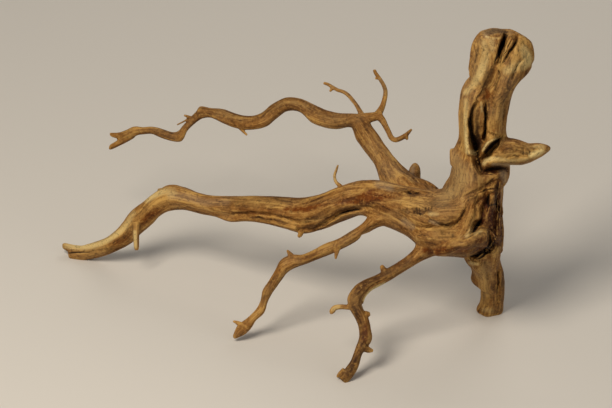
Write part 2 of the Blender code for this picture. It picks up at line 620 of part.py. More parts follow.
def bake(target):
    """Put the result of an object's modifiers into its mesh."""
    graph = bpy.context.evaluated_depsgraph_get()
    baked = bpy.data.meshes.new_from_object(target.evaluated_get(graph))
    target.modifiers.clear()
    target.data = baked


def triangle_count(target):
    graph = bpy.context.evaluated_depsgraph_get()
    mesh = target.evaluated_get(graph).to_mesh()
    mesh.calc_loop_triangles()
    return len(mesh.loop_triangles)


def floor_cutter():
    """A block under the surface that the stump stands on, which trims the foot and two tips flat."""
    mesh = bpy.data.meshes.new("floor_cutter")
    shape = bmesh.new()
    bmesh.ops.create_cube(shape, size=1.0)
    bmesh.ops.scale(shape, vec=Vector(CUTTER_SIZE) * MILLIMETRE, verts=shape.verts)
    middle = Vector((CUTTER_ACROSS, 0.0, -CUTTER_SIZE[2] / 2)) * MILLIMETRE
    bmesh.ops.translate(shape, vec=middle, verts=shape.verts)
    shape.to_mesh(mesh)
    shape.free()
    cutter = bpy.data.objects.new("floor_cutter", mesh)
    bpy.context.scene.collection.objects.link(cutter)
    cutter.hide_render = True
    cutter.display_type = "WIRE"
    return cutter


def clear_scene():
    for old in list(bpy.data.objects):
        bpy.data.objects.remove(old, do_unlink=True)


def wood_material():
    material = bpy.data.materials.new("weathered_wood")
    material.use_nodes = True
    shader = material.node_tree.nodes["Principled BSDF"]
    shader.inputs["Base Color"].default_value = WOOD_COLOUR
    shader.inputs["Roughness"].default_value = WOOD_ROUGHNESS
    shader.inputs["Metallic"].default_value = 0.0
    return material


def join_twigs(wood):
    """Unite every twig, nub and splinter with the wood, then remove the loose ones."""
    twigs = bpy.data.collections.new("twigs")
    bpy.context.scene.collection.children.link(twigs)
    for number, points in enumerate(TWIGS):
        twig = new_object(f"twig_{number}", [twig_mesh(points, TWIG_SIDES)])
        bpy.context.scene.collection.objects.unlink(twig)
        twigs.objects.link(twig)
    add_modifier(wood, "join twigs", "BOOLEAN", operation="UNION", operand_type="COLLECTION",
                 collection=twigs, solver="EXACT")
    bake(wood)
    for twig in list(twigs.objects):
        bpy.data.objects.remove(twig, do_unlink=True)
    bpy.data.collections.remove(twigs)


def main():
    clear_scene()
    wood = new_object("driftwood_stump", [limb_mesh(limb, flutes) for limb, flutes in LIMBS])
    add_modifier(wood, "blend limbs", "REMESH", mode="VOXEL", voxel_size=VOXEL * MILLIMETRE)
    add_modifier(wood, "soften", "SMOOTH", factor=0.5, iterations=SOFTEN_BLEND)
    bake(wood)
    press_all_sides(wood.data)
    flatten_top(wood.data)
    add_modifier(wood, "even out", "REMESH", mode="VOXEL", voxel_size=FINE_VOXEL * MILLIMETRE)
    add_modifier(wood, "soften again", "SMOOTH", factor=0.5, iterations=1)
    bake(wood)
    add_modifier(wood, "fewer faces", "DECIMATE", ratio=TRIANGLES / triangle_count(wood))
    bake(wood)
    join_twigs(wood)
    add_modifier(wood, "flat feet", "BOOLEAN", operation="DIFFERENCE", object=floor_cutter(), solver="EXACT")
    wood.data.materials.clear()
    wood.data.materials.append(wood_material())


main()
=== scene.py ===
# Driftwood stump, dressed: one piece of weathered wood in the shared frame, on a pale floor in soft light.
# The limbs are set out in millimetres on a board that leans back, as in the solid: across is +X, up climbs
# the board and out stands off it. The photograph looks straight at that board, a pixel to a millimetre.

import math

import bmesh
import bpy
import numpy as np
from mathutils import Matrix, Vector


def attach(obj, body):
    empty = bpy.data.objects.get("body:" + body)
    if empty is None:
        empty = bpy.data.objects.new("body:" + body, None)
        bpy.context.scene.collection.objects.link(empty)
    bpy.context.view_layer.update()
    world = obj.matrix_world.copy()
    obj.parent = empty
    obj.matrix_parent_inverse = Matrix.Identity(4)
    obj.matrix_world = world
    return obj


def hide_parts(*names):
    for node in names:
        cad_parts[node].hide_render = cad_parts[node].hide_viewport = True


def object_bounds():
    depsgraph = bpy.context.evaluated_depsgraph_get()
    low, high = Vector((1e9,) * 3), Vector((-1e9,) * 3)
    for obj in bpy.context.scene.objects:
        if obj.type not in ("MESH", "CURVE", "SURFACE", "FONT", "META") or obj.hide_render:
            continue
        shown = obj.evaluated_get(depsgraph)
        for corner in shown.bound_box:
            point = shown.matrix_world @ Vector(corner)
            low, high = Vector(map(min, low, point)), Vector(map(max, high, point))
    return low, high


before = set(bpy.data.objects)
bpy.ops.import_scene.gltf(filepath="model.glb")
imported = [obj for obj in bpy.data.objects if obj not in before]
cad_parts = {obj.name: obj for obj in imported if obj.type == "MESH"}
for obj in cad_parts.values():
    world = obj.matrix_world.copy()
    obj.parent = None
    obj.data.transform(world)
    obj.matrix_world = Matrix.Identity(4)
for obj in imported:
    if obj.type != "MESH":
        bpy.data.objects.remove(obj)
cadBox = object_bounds()
mm = 0.001

stump = {
    "node": "driftwood_stump",
    "boardLean": 30.0,        # degrees that the board leans back
    "footBack": 10.0,         # mm from the board's zero back to the foot's middle
    "bark": 0.5,              # mm added round each limb, which the blend takes off again
    "ringStep": 2.0,          # mm between a limb's rings
    "limbSides": 48,
    "twigSides": 14,
    "twigStep": 1.5,
    "grooveStep": 2.5,        # mm between the points of a carved line
    "fullPress": 0.6,         # a surface turned this far towards a side is carved to the full depth there
    "blendVoxel": 1.0,        # mm, first blend of the limbs
    "fineVoxel": 0.8,         # mm, blend that carries the carving and the twigs
    "topLevel": 330.2,        # mm up to the trunk's level top
    "topEdge": 17.0,          # mm right of the foot where the level top ends
    "inside": 0.02,           # mm kept clear of the solid's box
    "triangles": 192000,
}

# Limbs: a station a line, thick end first: the limb's two edges as across and up, then how far its middle
# stands out and how thick it is that way.
limbs = {
    "longRoot": [
        (8, 120, 8, 72, 76, 30), (-2, 126, -2, 64, 79, 54), (-22, 130, -20, 58, 81, 72),
        (-42, 127, -40, 59, 82, 76), (-62, 125, -62, 62, 81, 70), (-86, 129, -84, 80, 77, 57),
        (-109, 134, -111, 91.5, 70, 46), (-130, 134, -128, 100, 62, 38), (-150, 128, -150, 93, 52, 36),
        (-170, 120, -170, 85, 42, 36), (-190, 117, -188, 82, 32, 35), (-210, 118, -210, 89, 22, 31),
        (-235, 119, -235, 93.5, 9, 28), (-260, 118.5, -260, 96.5, -4, 25), (-285, 120, -287, 101, -18, 22),
        (-305, 127, -306, 105.5, -29, 22), (-320, 130, -322, 104, -38, 22), (-334, 123, -332, 99, -45, 21),
        (-347, 113, -340, 90, -52, 19), (-360, 103, -352, 80, -60, 18), (-368, 92, -360, 72, -67, 17),
        (-380, 80, -375, 64, -76, 15), (-392, 74, -390, 58, -85, 14), (-408, 69, -408, 55, -95, 13),
        (-418, 67, -418, 55.5, -98, 10), (-424, 61, -423, 56.5, -99, 6),
    ],
    "longRootProng": [
        (-404, 68, -404, 59, -95, 9), (-418, 69.5, -418, 62, -98, 8), (-427, 71.5, -426, 64.5, -100, 7),
        (-430, 70.5, -430, 67, -100, 4),
    ],
    "longRootStrand": [
        (-276, 102, -276, 99, -10, 3), (-260, 98, -259, 93.5, 2, 8),
        (-242, 100, -243, 94, 13, 10), (-224, 98.5, -224, 91.5, 24, 12),
        (-206, 94.5, -208, 87.5, 34, 13), (-190, 90, -193, 83.5, 42, 12),
    ],
    "upperBranch": [
        (-94, 94, -34, 106, 62, 34), (-104, 116, -52, 125, 46, 40), (-109, 132, -73, 136, 36, 34),
        (-115, 151, -90, 150, 28, 26), (-125, 165, -103, 166, 20, 22), (-133, 176, -110.5, 178, 14, 20),
        (-136.2, 184, -117.5, 187.5, 9, 18), (-137.5, 187.5, -121.5, 195, 6, 17),
        (-138.5, 188.3, -128, 200, 4, 16), (-143, 188.4, -139, 201.3, 0, 15),
        (-153, 186.4, -151, 202, -5, 14.5), (-165, 188, -164, 205, -10, 15),
        (-178, 193, -176, 210.5, -15, 14),
        (-190, 203.5, -190, 216.5, -21, 12), (-203, 204.5, -204, 217.5, -26, 11),
        (-214, 197, -218, 211, -32, 12), (-224, 189, -228, 202.5, -36, 12), (-238, 186, -240, 199, -41, 12),
        (-252, 187, -254, 201.2, -46, 12), (-266, 192, -267, 206, -51, 12),
        (-279, 198, -280, 207.2, -55.5, 10), (-288, 197.4, -290.5, 209, -59.5, 10),
        (-291.5, 195.6, -293.4, 204.6, -61, 9), (-298.5, 190, -301.5, 196.6, -63.5, 8),
        (-303.8, 184.4, -308.4, 188.8, -66, 7.5), (-306.6, 178, -311.8, 184.6, -67.5, 8),
        (-310.5, 173.9, -316, 183, -70, 9), (-320, 174.8, -321.5, 183.6, -73, 9.5),
        (-331, 178.6, -332, 187.2, -76.5, 9), (-339, 181.8, -340, 188.6, -79.5, 8),
        (-348, 181.4, -348.5, 188, -82.5, 7), (-354.5, 180.4, -357, 188.9, -85, 7.5),
        (-362.5, 176, -365, 185.4, -88, 8), (-371, 177.2, -371.8, 182.9, -91, 6.5),
        (-378, 178.2, -378.6, 182.6, -93, 5), (-381.6, 180, -382.2, 183, -94, 3.5),
    ],
    "upperBranchProng": [
        (-357, 178, -357.5, 184, -86, 7), (-365.5, 173.2, -364.5, 180, -89.5, 7),
        (-373, 169.6, -371.2, 176.4, -92, 6.5), (-379.8, 166.4, -377.4, 172.8, -94, 5.6),
        (-383, 165.8, -382, 170.4, -95, 3.6),
    ],
    "trunk": [
        (-6.5, 285, 25, 281, 174, 15), (-14.5, 277.5, 36, 274.5, 170.5, 26), (-19, 269, 41, 267, 166, 36),
        (-21.3, 254, 42.5, 254, 158, 42), (-22.8, 243, 37, 243, 152, 45), (-20.8, 236.5, 30, 237, 148.5, 46),
        (-26, 230, 25, 230, 144.5, 46), (-29.3, 223, 21.5, 223, 140.5, 46), (-31, 214, 19, 214, 135.5, 46),
        (-32, 201, 16.5, 201, 128, 46), (-31.5, 187, 15, 187, 120, 46), (-32, 175, 16, 175, 113, 48),
        (-36.5, 163, 17.5, 163, 106, 54), (-38, 150, 19, 150, 99, 62), (-40, 139, 18.3, 139, 93, 69),
        (-43, 131.5, 13.5, 132.5, 89, 71.5), (-49, 122, 12.5, 122, 84, 74), (-50, 108, 11.5, 105, 79, 74),
        (-40, 88, 13, 86, 72, 68), (-34, 66, 13, 66, 62, 54),
    ],
    "tornPeak": [
        (-40, 150, -28, 148, 102, 16), (-40.5, 158, -31, 159, 104, 11), (-40.5, 164, -35.5, 165, 105, 6),
        (-40, 166.5, -37.5, 166.5, 105, 3),
    ],
    "bodyFold": [
        (-21, 132, -6, 130, 100, 26), (-25, 115, -10, 112, 106, 26), (-30, 98, -14, 96, 108, 26),
        (-36, 84, -20, 78, 107, 26), (-44, 76, -34, 63, 104, 26), (-56, 71, -52, 59, 98, 22),
    ],
    "bodyLobe": [
        (-40, 79, -37, 65, 103, 22), (-27, 83, -24, 66, 109, 27), (-17, 88, -14, 69, 112, 31),
        (-6, 87, -8, 69, 111, 30), (0, 80, -7, 67, 105, 24), (-2, 71, -8, 65, 99, 14),
    ],
    "knob": [
        (-83, 122, -67, 122, 34, 16), (-82, 134, -69.5, 135, 30, 12.5), (-81.2, 142, -69.5, 142.5, 28, 11.5),
        (-79.6, 147.6, -70.4, 148, 27, 9.5), (-77.4, 150.8, -72.6, 151, 26, 5.5),
        (-76, 151.8, -73.6, 151.9, 25.5, 3),
    ],
    "stub": [
        (-30, 78, 12, 78, 64, 50), (-27, 62, 10, 62, 51, 42), (-20, 52, 10, 53, 40, 35),
        (-18, 44, 13, 44.5, 32, 31), (-18.6, 38, 13.8, 38.5, 26, 29), (-16.8, 34.8, 14.2, 35, 22.5, 28),
        (-10, 32.6, 14.6, 33, 19.5, 26), (-9.2, 26, 14.6, 27, 11, 25), (-9, 17, 14.4, 18, 1, 25),
        (-9.5, 12, 13.8, 13, -3, 25), (-12.4, 6, 13.4, 7, -7, 26), (-12, 0, 12, 0, -12, 25),
    ],
    "spur": [
        (-10, 157, -9.5, 149, 122, 11), (-6, 160.5, -6, 147.8, 120.5, 20), (2, 168, 1, 148, 118.5, 27),
        (10, 175, 9, 149, 116, 31), (18, 176.5, 18, 150, 114, 30), (28, 174.8, 29, 150, 112, 26),
        (35, 172, 36, 151.6, 110.5, 22), (39, 171, 40, 153, 109.5, 20), (45, 171.6, 46, 156, 108, 17),
        (51.5, 171, 52, 159.4, 106.5, 13), (57, 169.2, 57, 163.2, 105, 8), (60, 167, 59.6, 165.4, 104, 3.5),
    ],
    "lowerRoot": [
        (-96, 112, -92, 90, 78, 34), (-118, 101, -109, 89, 80, 18), (-128, 91, -122, 82, 79, 13),
        (-140, 83, -136, 73, 78, 12), (-152, 76, -149, 66, 76, 12), (-165, 71, -162, 60, 74, 12),
        (-178, 64, -175, 55, 72, 11), (-188, 60, -184, 51.5, 70, 11), (-198, 60, -196, 47, 68, 12),
        (-209, 55, -203, 42.5, 66, 13), (-215, 44, -207, 37.5, 64, 10), (-221, 34, -212, 30.5, 62, 9),
        (-227, 25, -218, 22, 60, 9), (-229, 15, -222.5, 13, 57, 7), (-233, 6.5, -226, 2.5, 55, 8),
        (-240, -1, -234, -5, 53, 8), (-247, -6.5, -239, -13, 51, 8), (-252, -10, -245, -19, 50, 7),
        (-256, -18, -253, -23, 49, 4), (-257.5, -22, -256, -24, 49, 2),
    ],
    "frontRoot": [
        (-66, 84, -50, 62, 84, 34), (-75, 68, -68, 55, 91, 22), (-82, 60, -78, 49, 94, 14),
        (-92, 53, -88, 43, 96, 12), (-102, 47, -99, 36, 98, 12), (-114, 40, -110, 30, 100, 12),
        (-126, 35, -121, 24, 102, 13), (-136, 28, -128, 17, 104, 14), (-142.5, 17, -129, 12, 106, 15),
        (-140, 6, -126, 4, 107, 14), (-134, -4, -122, -3, 108, 13), (-131, -14, -119.5, -14, 109, 12),
        (-131, -23, -119, -25, 110, 12), (-135, -34, -128, -38, 112, 9), (-139, -45, -131, -48, 113, 9),
        (-144, -52, -135, -57, 114, 9), (-149, -59, -141, -65, 114, 8), (-151, -62, -145, -68, 114, 5),
    ],
}

# Flutes along each limb: how many, how deep as a share of the thickness, and how many degrees they turn.
flutes = {
    "longRoot": (5, 0.10, 200), "longRootProng": (3, 0.06, 0), "longRootStrand": (3, 0.05, 0),
    "upperBranch": (4, 0.10, 300), "upperBranchProng": (3, 0.06, 0), "trunk": (6, 0.09, 50),
    "stub": (5, 0.10, 20), "spur": (4, 0.08, 40), "tornPeak": (3, 0.05, 0), "bodyFold": (3, 0.05, 0),
    "bodyLobe": (3, 0.04, 0), "knob": (3, 0.05, 0), "lowerRoot": (4, 0.08, 160), "frontRoot": (4, 0.08, 160),
}

# Twigs, nubs and splinters: a point a line as across, up, out and thickness.
twigs = [
    # Twig standing on the long root
    [(-147, 124, 52, 6), (-150, 129, 50, 4.5), (-154, 133, 49, 3.4), (-155.5, 139, 48, 3),
     (-154, 144, 47, 3), (-152, 150, 46, 2)],
    # Arm at the crook of the upper branch, which carries two of its twigs
    [(-130, 196, 3, 13), (-121, 197.5, 7, 10.5), (-113, 199, 9, 9), (-107.5, 200.5, 9, 8)],
    # Twig off the crook to the left, with a nub
    [(-126, 196, 3, 8), (-129.5, 203, 0, 5.2), (-133, 209.5, -3, 4.2), (-137.5, 215.5, -5, 4.1),
     (-142, 220.5, -7, 4), (-147, 223.7, -9, 3.8), (-152, 225.2, -10, 3.8), (-157, 228, -12, 3.8),
     (-162, 231, -14, 3.4), (-166.5, 232.4, -15, 2.8)],
    [(-156, 228, -12, 4), (-158.5, 226, -12, 3.4), (-160, 223.6, -12, 2.2)],
    # Twig off the arm to the top, with a nub
    [(-114, 198, 8, 9), (-109.5, 204.5, 6, 7), (-106.3, 212, 3, 5.4), (-104.3, 222, -1, 4.8),
     (-105.7, 229, -3, 4.3), (-110, 236.5, -5, 4), (-114, 242, -6, 3.8), (-115.6, 245.6, -7, 3.2)],
    [(-110, 238, -5, 3.4), (-112.6, 237.2, -5, 2.8), (-114.8, 236.8, -5, 2)],
    # Twig off the arm that hooks down to the right, with a nub
    [(-112, 200, 9, 9), (-107.5, 195, 11, 7), (-104.5, 189.5, 12, 5.8), (-101.2, 183, 14, 5.4),
     (-98.4, 177.4, 15, 5.4), (-94, 175.2, 16, 5.2), (-87, 178, 17, 5), (-82.4, 181.6, 18, 4),
     (-78, 186, 19, 2.2)],
    [(-84, 180.5, 18, 4.4), (-83.2, 177.5, 18, 3.8), (-82.6, 175.2, 18, 2.4)],
    # Small twig under the upper branch
    [(-251, 189, -45, 5), (-247, 184, -44, 3.2), (-243, 180, -43, 2)],
    # Splinter below the upper branch's corner near its far end
    [(-296, 195.5, -63, 5), (-302, 198.6, -63, 3.2), (-306.8, 200.3, -62, 2)],
    # Spike that hangs on the front of the long root
    [(-355, 93, -46, 8), (-355, 84, -46, 7), (-354.6, 74, -48, 6), (-354.4, 67.5, -49.5, 5.4),
     (-354.4, 64.6, -50, 3.8)],
    # Whisker at the upper branch's corner, and the thin strip under the front root
    [(-302, 197, -63, 2.2), (-308, 193.5, -61, 1.9), (-314, 190.5, -60, 1.6)],
    [(-128.6, 12, 104, 3.2), (-125.6, 19.5, 104, 3.2), (-118.6, 26.6, 103, 3), (-109, 32, 101, 3),
     (-102, 37, 99, 3)],
    # Tab on top of the long root's bend
    [(-320, 124, -38, 6), (-327, 125.6, -40, 3.8), (-333, 125.4, -41, 2.2)],
    # Hooked nub under the long root
    [(-188, 86, 40, 7), (-190, 80, 40, 5), (-192, 78, 40, 3)],
    # Spikes of the lower root
    [(-197, 56, 69, 7), (-200, 61, 69, 5), (-203, 65, 69, 2)],
    [(-152, 70, 78, 8), (-153.5, 63, 79, 5), (-154.5, 56, 80, 2)],
    [(-246, -12, 52, 7), (-252, -8, 52, 4.5), (-257, -6, 52, 2)],
    # Side hook of the front root
    [(-136, 8.6, 107, 8), (-143, 8.3, 106, 5.4), (-150, 8.6, 105, 5.2), (-155.4, 7.4, 104, 5.6),
     (-158, 3.8, 103.5, 5.8), (-157.6, 2, 103, 4.4)],
    # Nubs of the front root
    [(-106, 44, 99, 7), (-108, 48, 99, 5), (-109, 50, 99, 3)],
    [(-128, -31, 111, 9), (-122, -34.2, 111, 6.5), (-117, -35.2, 111, 2.8)],
    [(-124, 1, 108, 8), (-120, 1.6, 108, 3.6)],
    # Side prong at the front root's tip
    [(-145, -55, 114, 8), (-150, -58.6, 113, 5.5), (-153.2, -61.4, 112, 2.6)],
]

# Carved lines: a point a line as across, up, half the width and the depth.
frontGrooves = [
    # Two clefts in the trunk's top
    [(14.5, 282, 2.6, 8), (12.5, 274, 3.2, 14), (10, 265, 3.2, 14), (7.5, 256, 2.4, 9), (5.5, 249, 1.6, 4)],
    [(26, 277, 2, 3), (23.5, 270.5, 2.6, 7), (19.5, 263, 2.8, 7), (15.5, 256, 2.6, 5), (12, 250, 2.2, 2)],
    # Hollow down the middle of the trunk
    [(3, 243, 5, 2), (1, 231, 7, 4), (-2, 219, 8, 4), (1, 203, 8, 2.5), (3, 189, 7, 1.5)],
    # Slots on both sides of the trunk's sunken tongue, and the tongue itself
    [(-14.5, 212, 1.8, 4), (-18, 205, 2.4, 10), (-20, 193, 2.6, 14), (-19, 181, 3.6, 18), (-16, 170, 5.5, 20),
     (-14, 161, 5.5, 16)],
    [(-6, 211, 1.6, 4), (-5.6, 203, 1.8, 10), (-5.6, 189, 1.9, 12), (-6.5, 176, 2.4, 13)],
    [(-12, 206, 4, 1.5), (-12.5, 193, 6, 4), (-12.5, 182, 6, 8), (-12, 171, 7, 13)],
    # Torn gap behind the spur, the pit below it and the recess under the spur
    [(10, 178, 3, 8), (3, 169, 4, 16), (-5, 160, 4, 15), (-11, 152, 4.5, 12)],
    [(-16, 159, 4, 9), (-13, 150, 4.5, 11), (-9, 143, 4, 8)],
    [(-9, 143, 3, 8), (0, 146, 4, 13), (10, 147, 4.5, 13), (18, 146, 4, 10)],
    # Cracks on the trunk
    [(6.5, 243, 1.5, 2), (7.5, 239, 1.8, 4), (5, 231, 1.8, 4), (3, 224, 1.5, 3), (1, 218, 1.2, 1.5)],
    [(30, 255, 2, 1.5), (25, 247, 2.4, 3), (20, 238, 2.4, 3), (17, 226, 2, 1.5)],
    # Fold that curls round the foot of the trunk, the split under it and the wrinkles beside it
    [(-27, 104, 2.5, 2), (-31, 95.5, 2.8, 3), (-40, 89.5, 3, 3), (-50, 90, 3, 2.5), (-60, 94.5, 2.5, 2)],
    [(-74, 88.5, 1.6, 2), (-56, 88.5, 1.8, 4), (-38, 90.5, 1.6, 2)],
    [(-82, 104, 3.5, 2.5), (-70, 105, 4.5, 5), (-56, 107, 3.5, 2.5)],
    # Pit over the lobe, the rim under it and the gap above the foot
    [(-8, 96, 3, 5), (-14, 89, 5, 15), (-19, 82, 3.5, 7), (-27, 76, 2.5, 3)],
    [(-1, 84, 3, 8), (0, 75, 3.5, 12), (-6, 67, 4, 13), (-14, 61, 4, 12), (-24, 56, 4, 8)],
    [(16, 77, 3, 8), (6, 71, 3.5, 12), (-6, 64, 4, 12)],
    # Fissures of the rotten side
    [(-7, 129, 3.5, 4), (-4, 117, 4.5, 9), (-7, 105, 4.5, 9), (-9, 95, 3.5, 6)],
    [(6, 131, 2.5, 5), (6, 111, 3, 7), (4, 93, 3, 7), (4, 79, 2.5, 5)],
    [(12, 125, 2, 4), (11, 103, 2, 5), (12, 85, 2, 4)],
    [(-27, 117, 2.4, 2.5), (-14, 124, 2.8, 4), (-1, 131, 2.8, 5), (13, 137, 2.5, 4)],
    [(-18, 109, 2.4, 2), (-6, 117, 2.8, 4), (10, 125, 2.5, 4)],
    # Worn hollow, fold and strand line of the long root, and the holes of its two knots
    [(-160, 113, 4, 2), (-142, 117, 7, 5), (-124, 118, 8, 5), (-106, 116, 6, 3), (-90, 119, 4, 2)],
    [(-190, 85, 2.5, 3), (-174, 88, 3, 5), (-162, 94, 3.5, 6), (-149, 102, 3.5, 6), (-128, 107, 3, 4),
     (-112, 107, 2.5, 2)],
    [(-258, 100.5, 2, 2.5), (-240, 102, 2.5, 4), (-222, 100.5, 2.5, 4), (-205, 96.5, 2.5, 4),
     (-190, 92, 2, 3)],
    [(-92, 120, 2, 2), (-81, 122, 3, 5), (-71, 121, 3, 5), (-58, 122, 2, 2)],
    # Grain grooves of the foot and the upper branch
    [(10, 57, 2.2, 5), (8, 39, 2.4, 6), (9, 15, 2, 4)],
    [(-6, 53, 1.8, 3), (-2, 33, 2, 4), (-2, 9, 1.8, 3)],
    [(-92, 137, 2.5, 2), (-106, 155, 2.5, 3), (-118, 171, 2, 3), (-124, 183, 2, 2)],
]
frontRidges = [
    # Pillar at the trunk's left and the cheek over it
    [(-20, 223, 6, 3), (-26, 209, 5, 4), (-27, 191, 4.5, 5), (-25, 173, 4.5, 6), (-21, 161, 4, 5)],
    [(-12, 270, 8, 3), (-11, 253, 9, 4), (-12, 235, 8, 4)],
    # Lower edge of the spur and the torn strip behind it
    [(-6, 151.5, 4, 4), (4, 152.5, 4.5, 4), (18, 153.5, 4.5, 4), (34, 155, 4, 3.5), (46, 160, 3.5, 3),
     (55, 165.5, 3, 1.5)],
    [(-8, 161, 3, 4), (-4, 169, 3, 5), (3, 175, 3, 4)],
    # Swelling along the bottom of the body
    [(-70, 79, 7, 3), (-50, 75, 9, 5), (-28, 69, 7, 4)],
]
# Ledges: across, up, how far the low side reaches and how low it lies, on the left as one goes along
frontLedges = [
    # Right edge of the trunk's left cheek
    [(5, 252, 4, 1.5), (1, 247, 8, 3.5), (-3.5, 239, 13, 4.5), (-7.5, 229, 13, 4.5), (-11, 221, 11, 4),
     (-16, 214, 8, 3), (-19, 208, 5, 2)],
    # Torn lower edge of the level part beside the tongue
    [(17, 177, 5, 2), (10, 179, 8, 3.5), (3, 181, 8, 4), (-3, 184, 6, 3), (-6, 186, 4, 2)],
    # Edge of the body's bulge, over the fold that curls round it
    [(-24, 113, 5, 1), (-26, 106, 6, 2.5), (-29, 99, 7, 3), (-35, 93.5, 8, 3.5), (-42, 91, 8, 3.5),
     (-50, 92, 7, 3), (-58, 95.5, 6, 2), (-66, 99.5, 5, 1.2)],
    # Edge between the smooth side of the body and the rotten one
    [(-12, 127, 6, 1), (-15, 117, 8, 3), (-17, 107, 8, 3.5), (-18, 98, 7, 3), (-22, 90, 5, 1.5)],
]
backGrooves = [
    [(-4, 276, 3, 7), (-6, 250, 5, 9), (-8, 215, 4, 8), (-10, 180, 3, 6), (-12, 140, 3, 3)],
    [(20, 262, 3, 6), (14, 235, 4, 7), (6, 205, 4, 8), (3, 160, 4, 7), (2, 120, 3, 4)],
    [(-30, 150, 3, 3), (-34, 125, 5, 7), (-30, 100, 5, 8), (-22, 75, 4, 5)],
    [(-60, 112, 4, 4), (-84, 104, 5, 6), (-112, 106, 4, 5), (-140, 108, 3, 3)],
    [(-170, 98, 3, 3), (-205, 105, 4, 5), (-245, 108, 3, 4), (-280, 112, 2.5, 2)],
    [(-4, 60, 3, 3), (0, 35, 3, 5), (2, 8, 2.5, 4)],
]

# Splits of the right and left sides, with forward and height in place of across and up.
rightGrooves = [
    [(-26, 322, 3, 4), (-22, 295, 4, 8), (-19, 262, 4, 7), (-14, 225, 3, 4)],
    [(-36, 300, 2.5, 4), (-35, 270, 3, 6), (-31, 232, 3, 4)],
    [(-8, 190, 3, 4), (-11, 162, 5, 8), (-15, 132, 5, 9), (-14, 95, 4, 5)],
    [(-40, 168, 3, 5), (-43, 140, 4, 8), (-39, 112, 4, 7), (-30, 85, 3, 4)],
    [(6, 152, 3, 4), (3, 120, 4, 6), (-2, 88, 3, 4)],
    [(-14, 78, 3, 4), (-7, 48, 3, 5), (1, 16, 2.5, 4)],
]
leftGrooves = [
    [(-24, 316, 3, 4), (-21, 285, 4, 7), (-24, 246, 4, 7), (-25, 208, 3, 4)],
    [(-7, 292, 2.5, 4), (-6, 255, 3, 6), (-9, 215, 3, 4)],
    [(-10, 180, 3, 4), (-16, 150, 4, 5), (-12, 128, 3, 3)],
    [(-18, 84, 3, 4), (-12, 52, 3, 5), (-2, 14, 2.5, 4)],
]

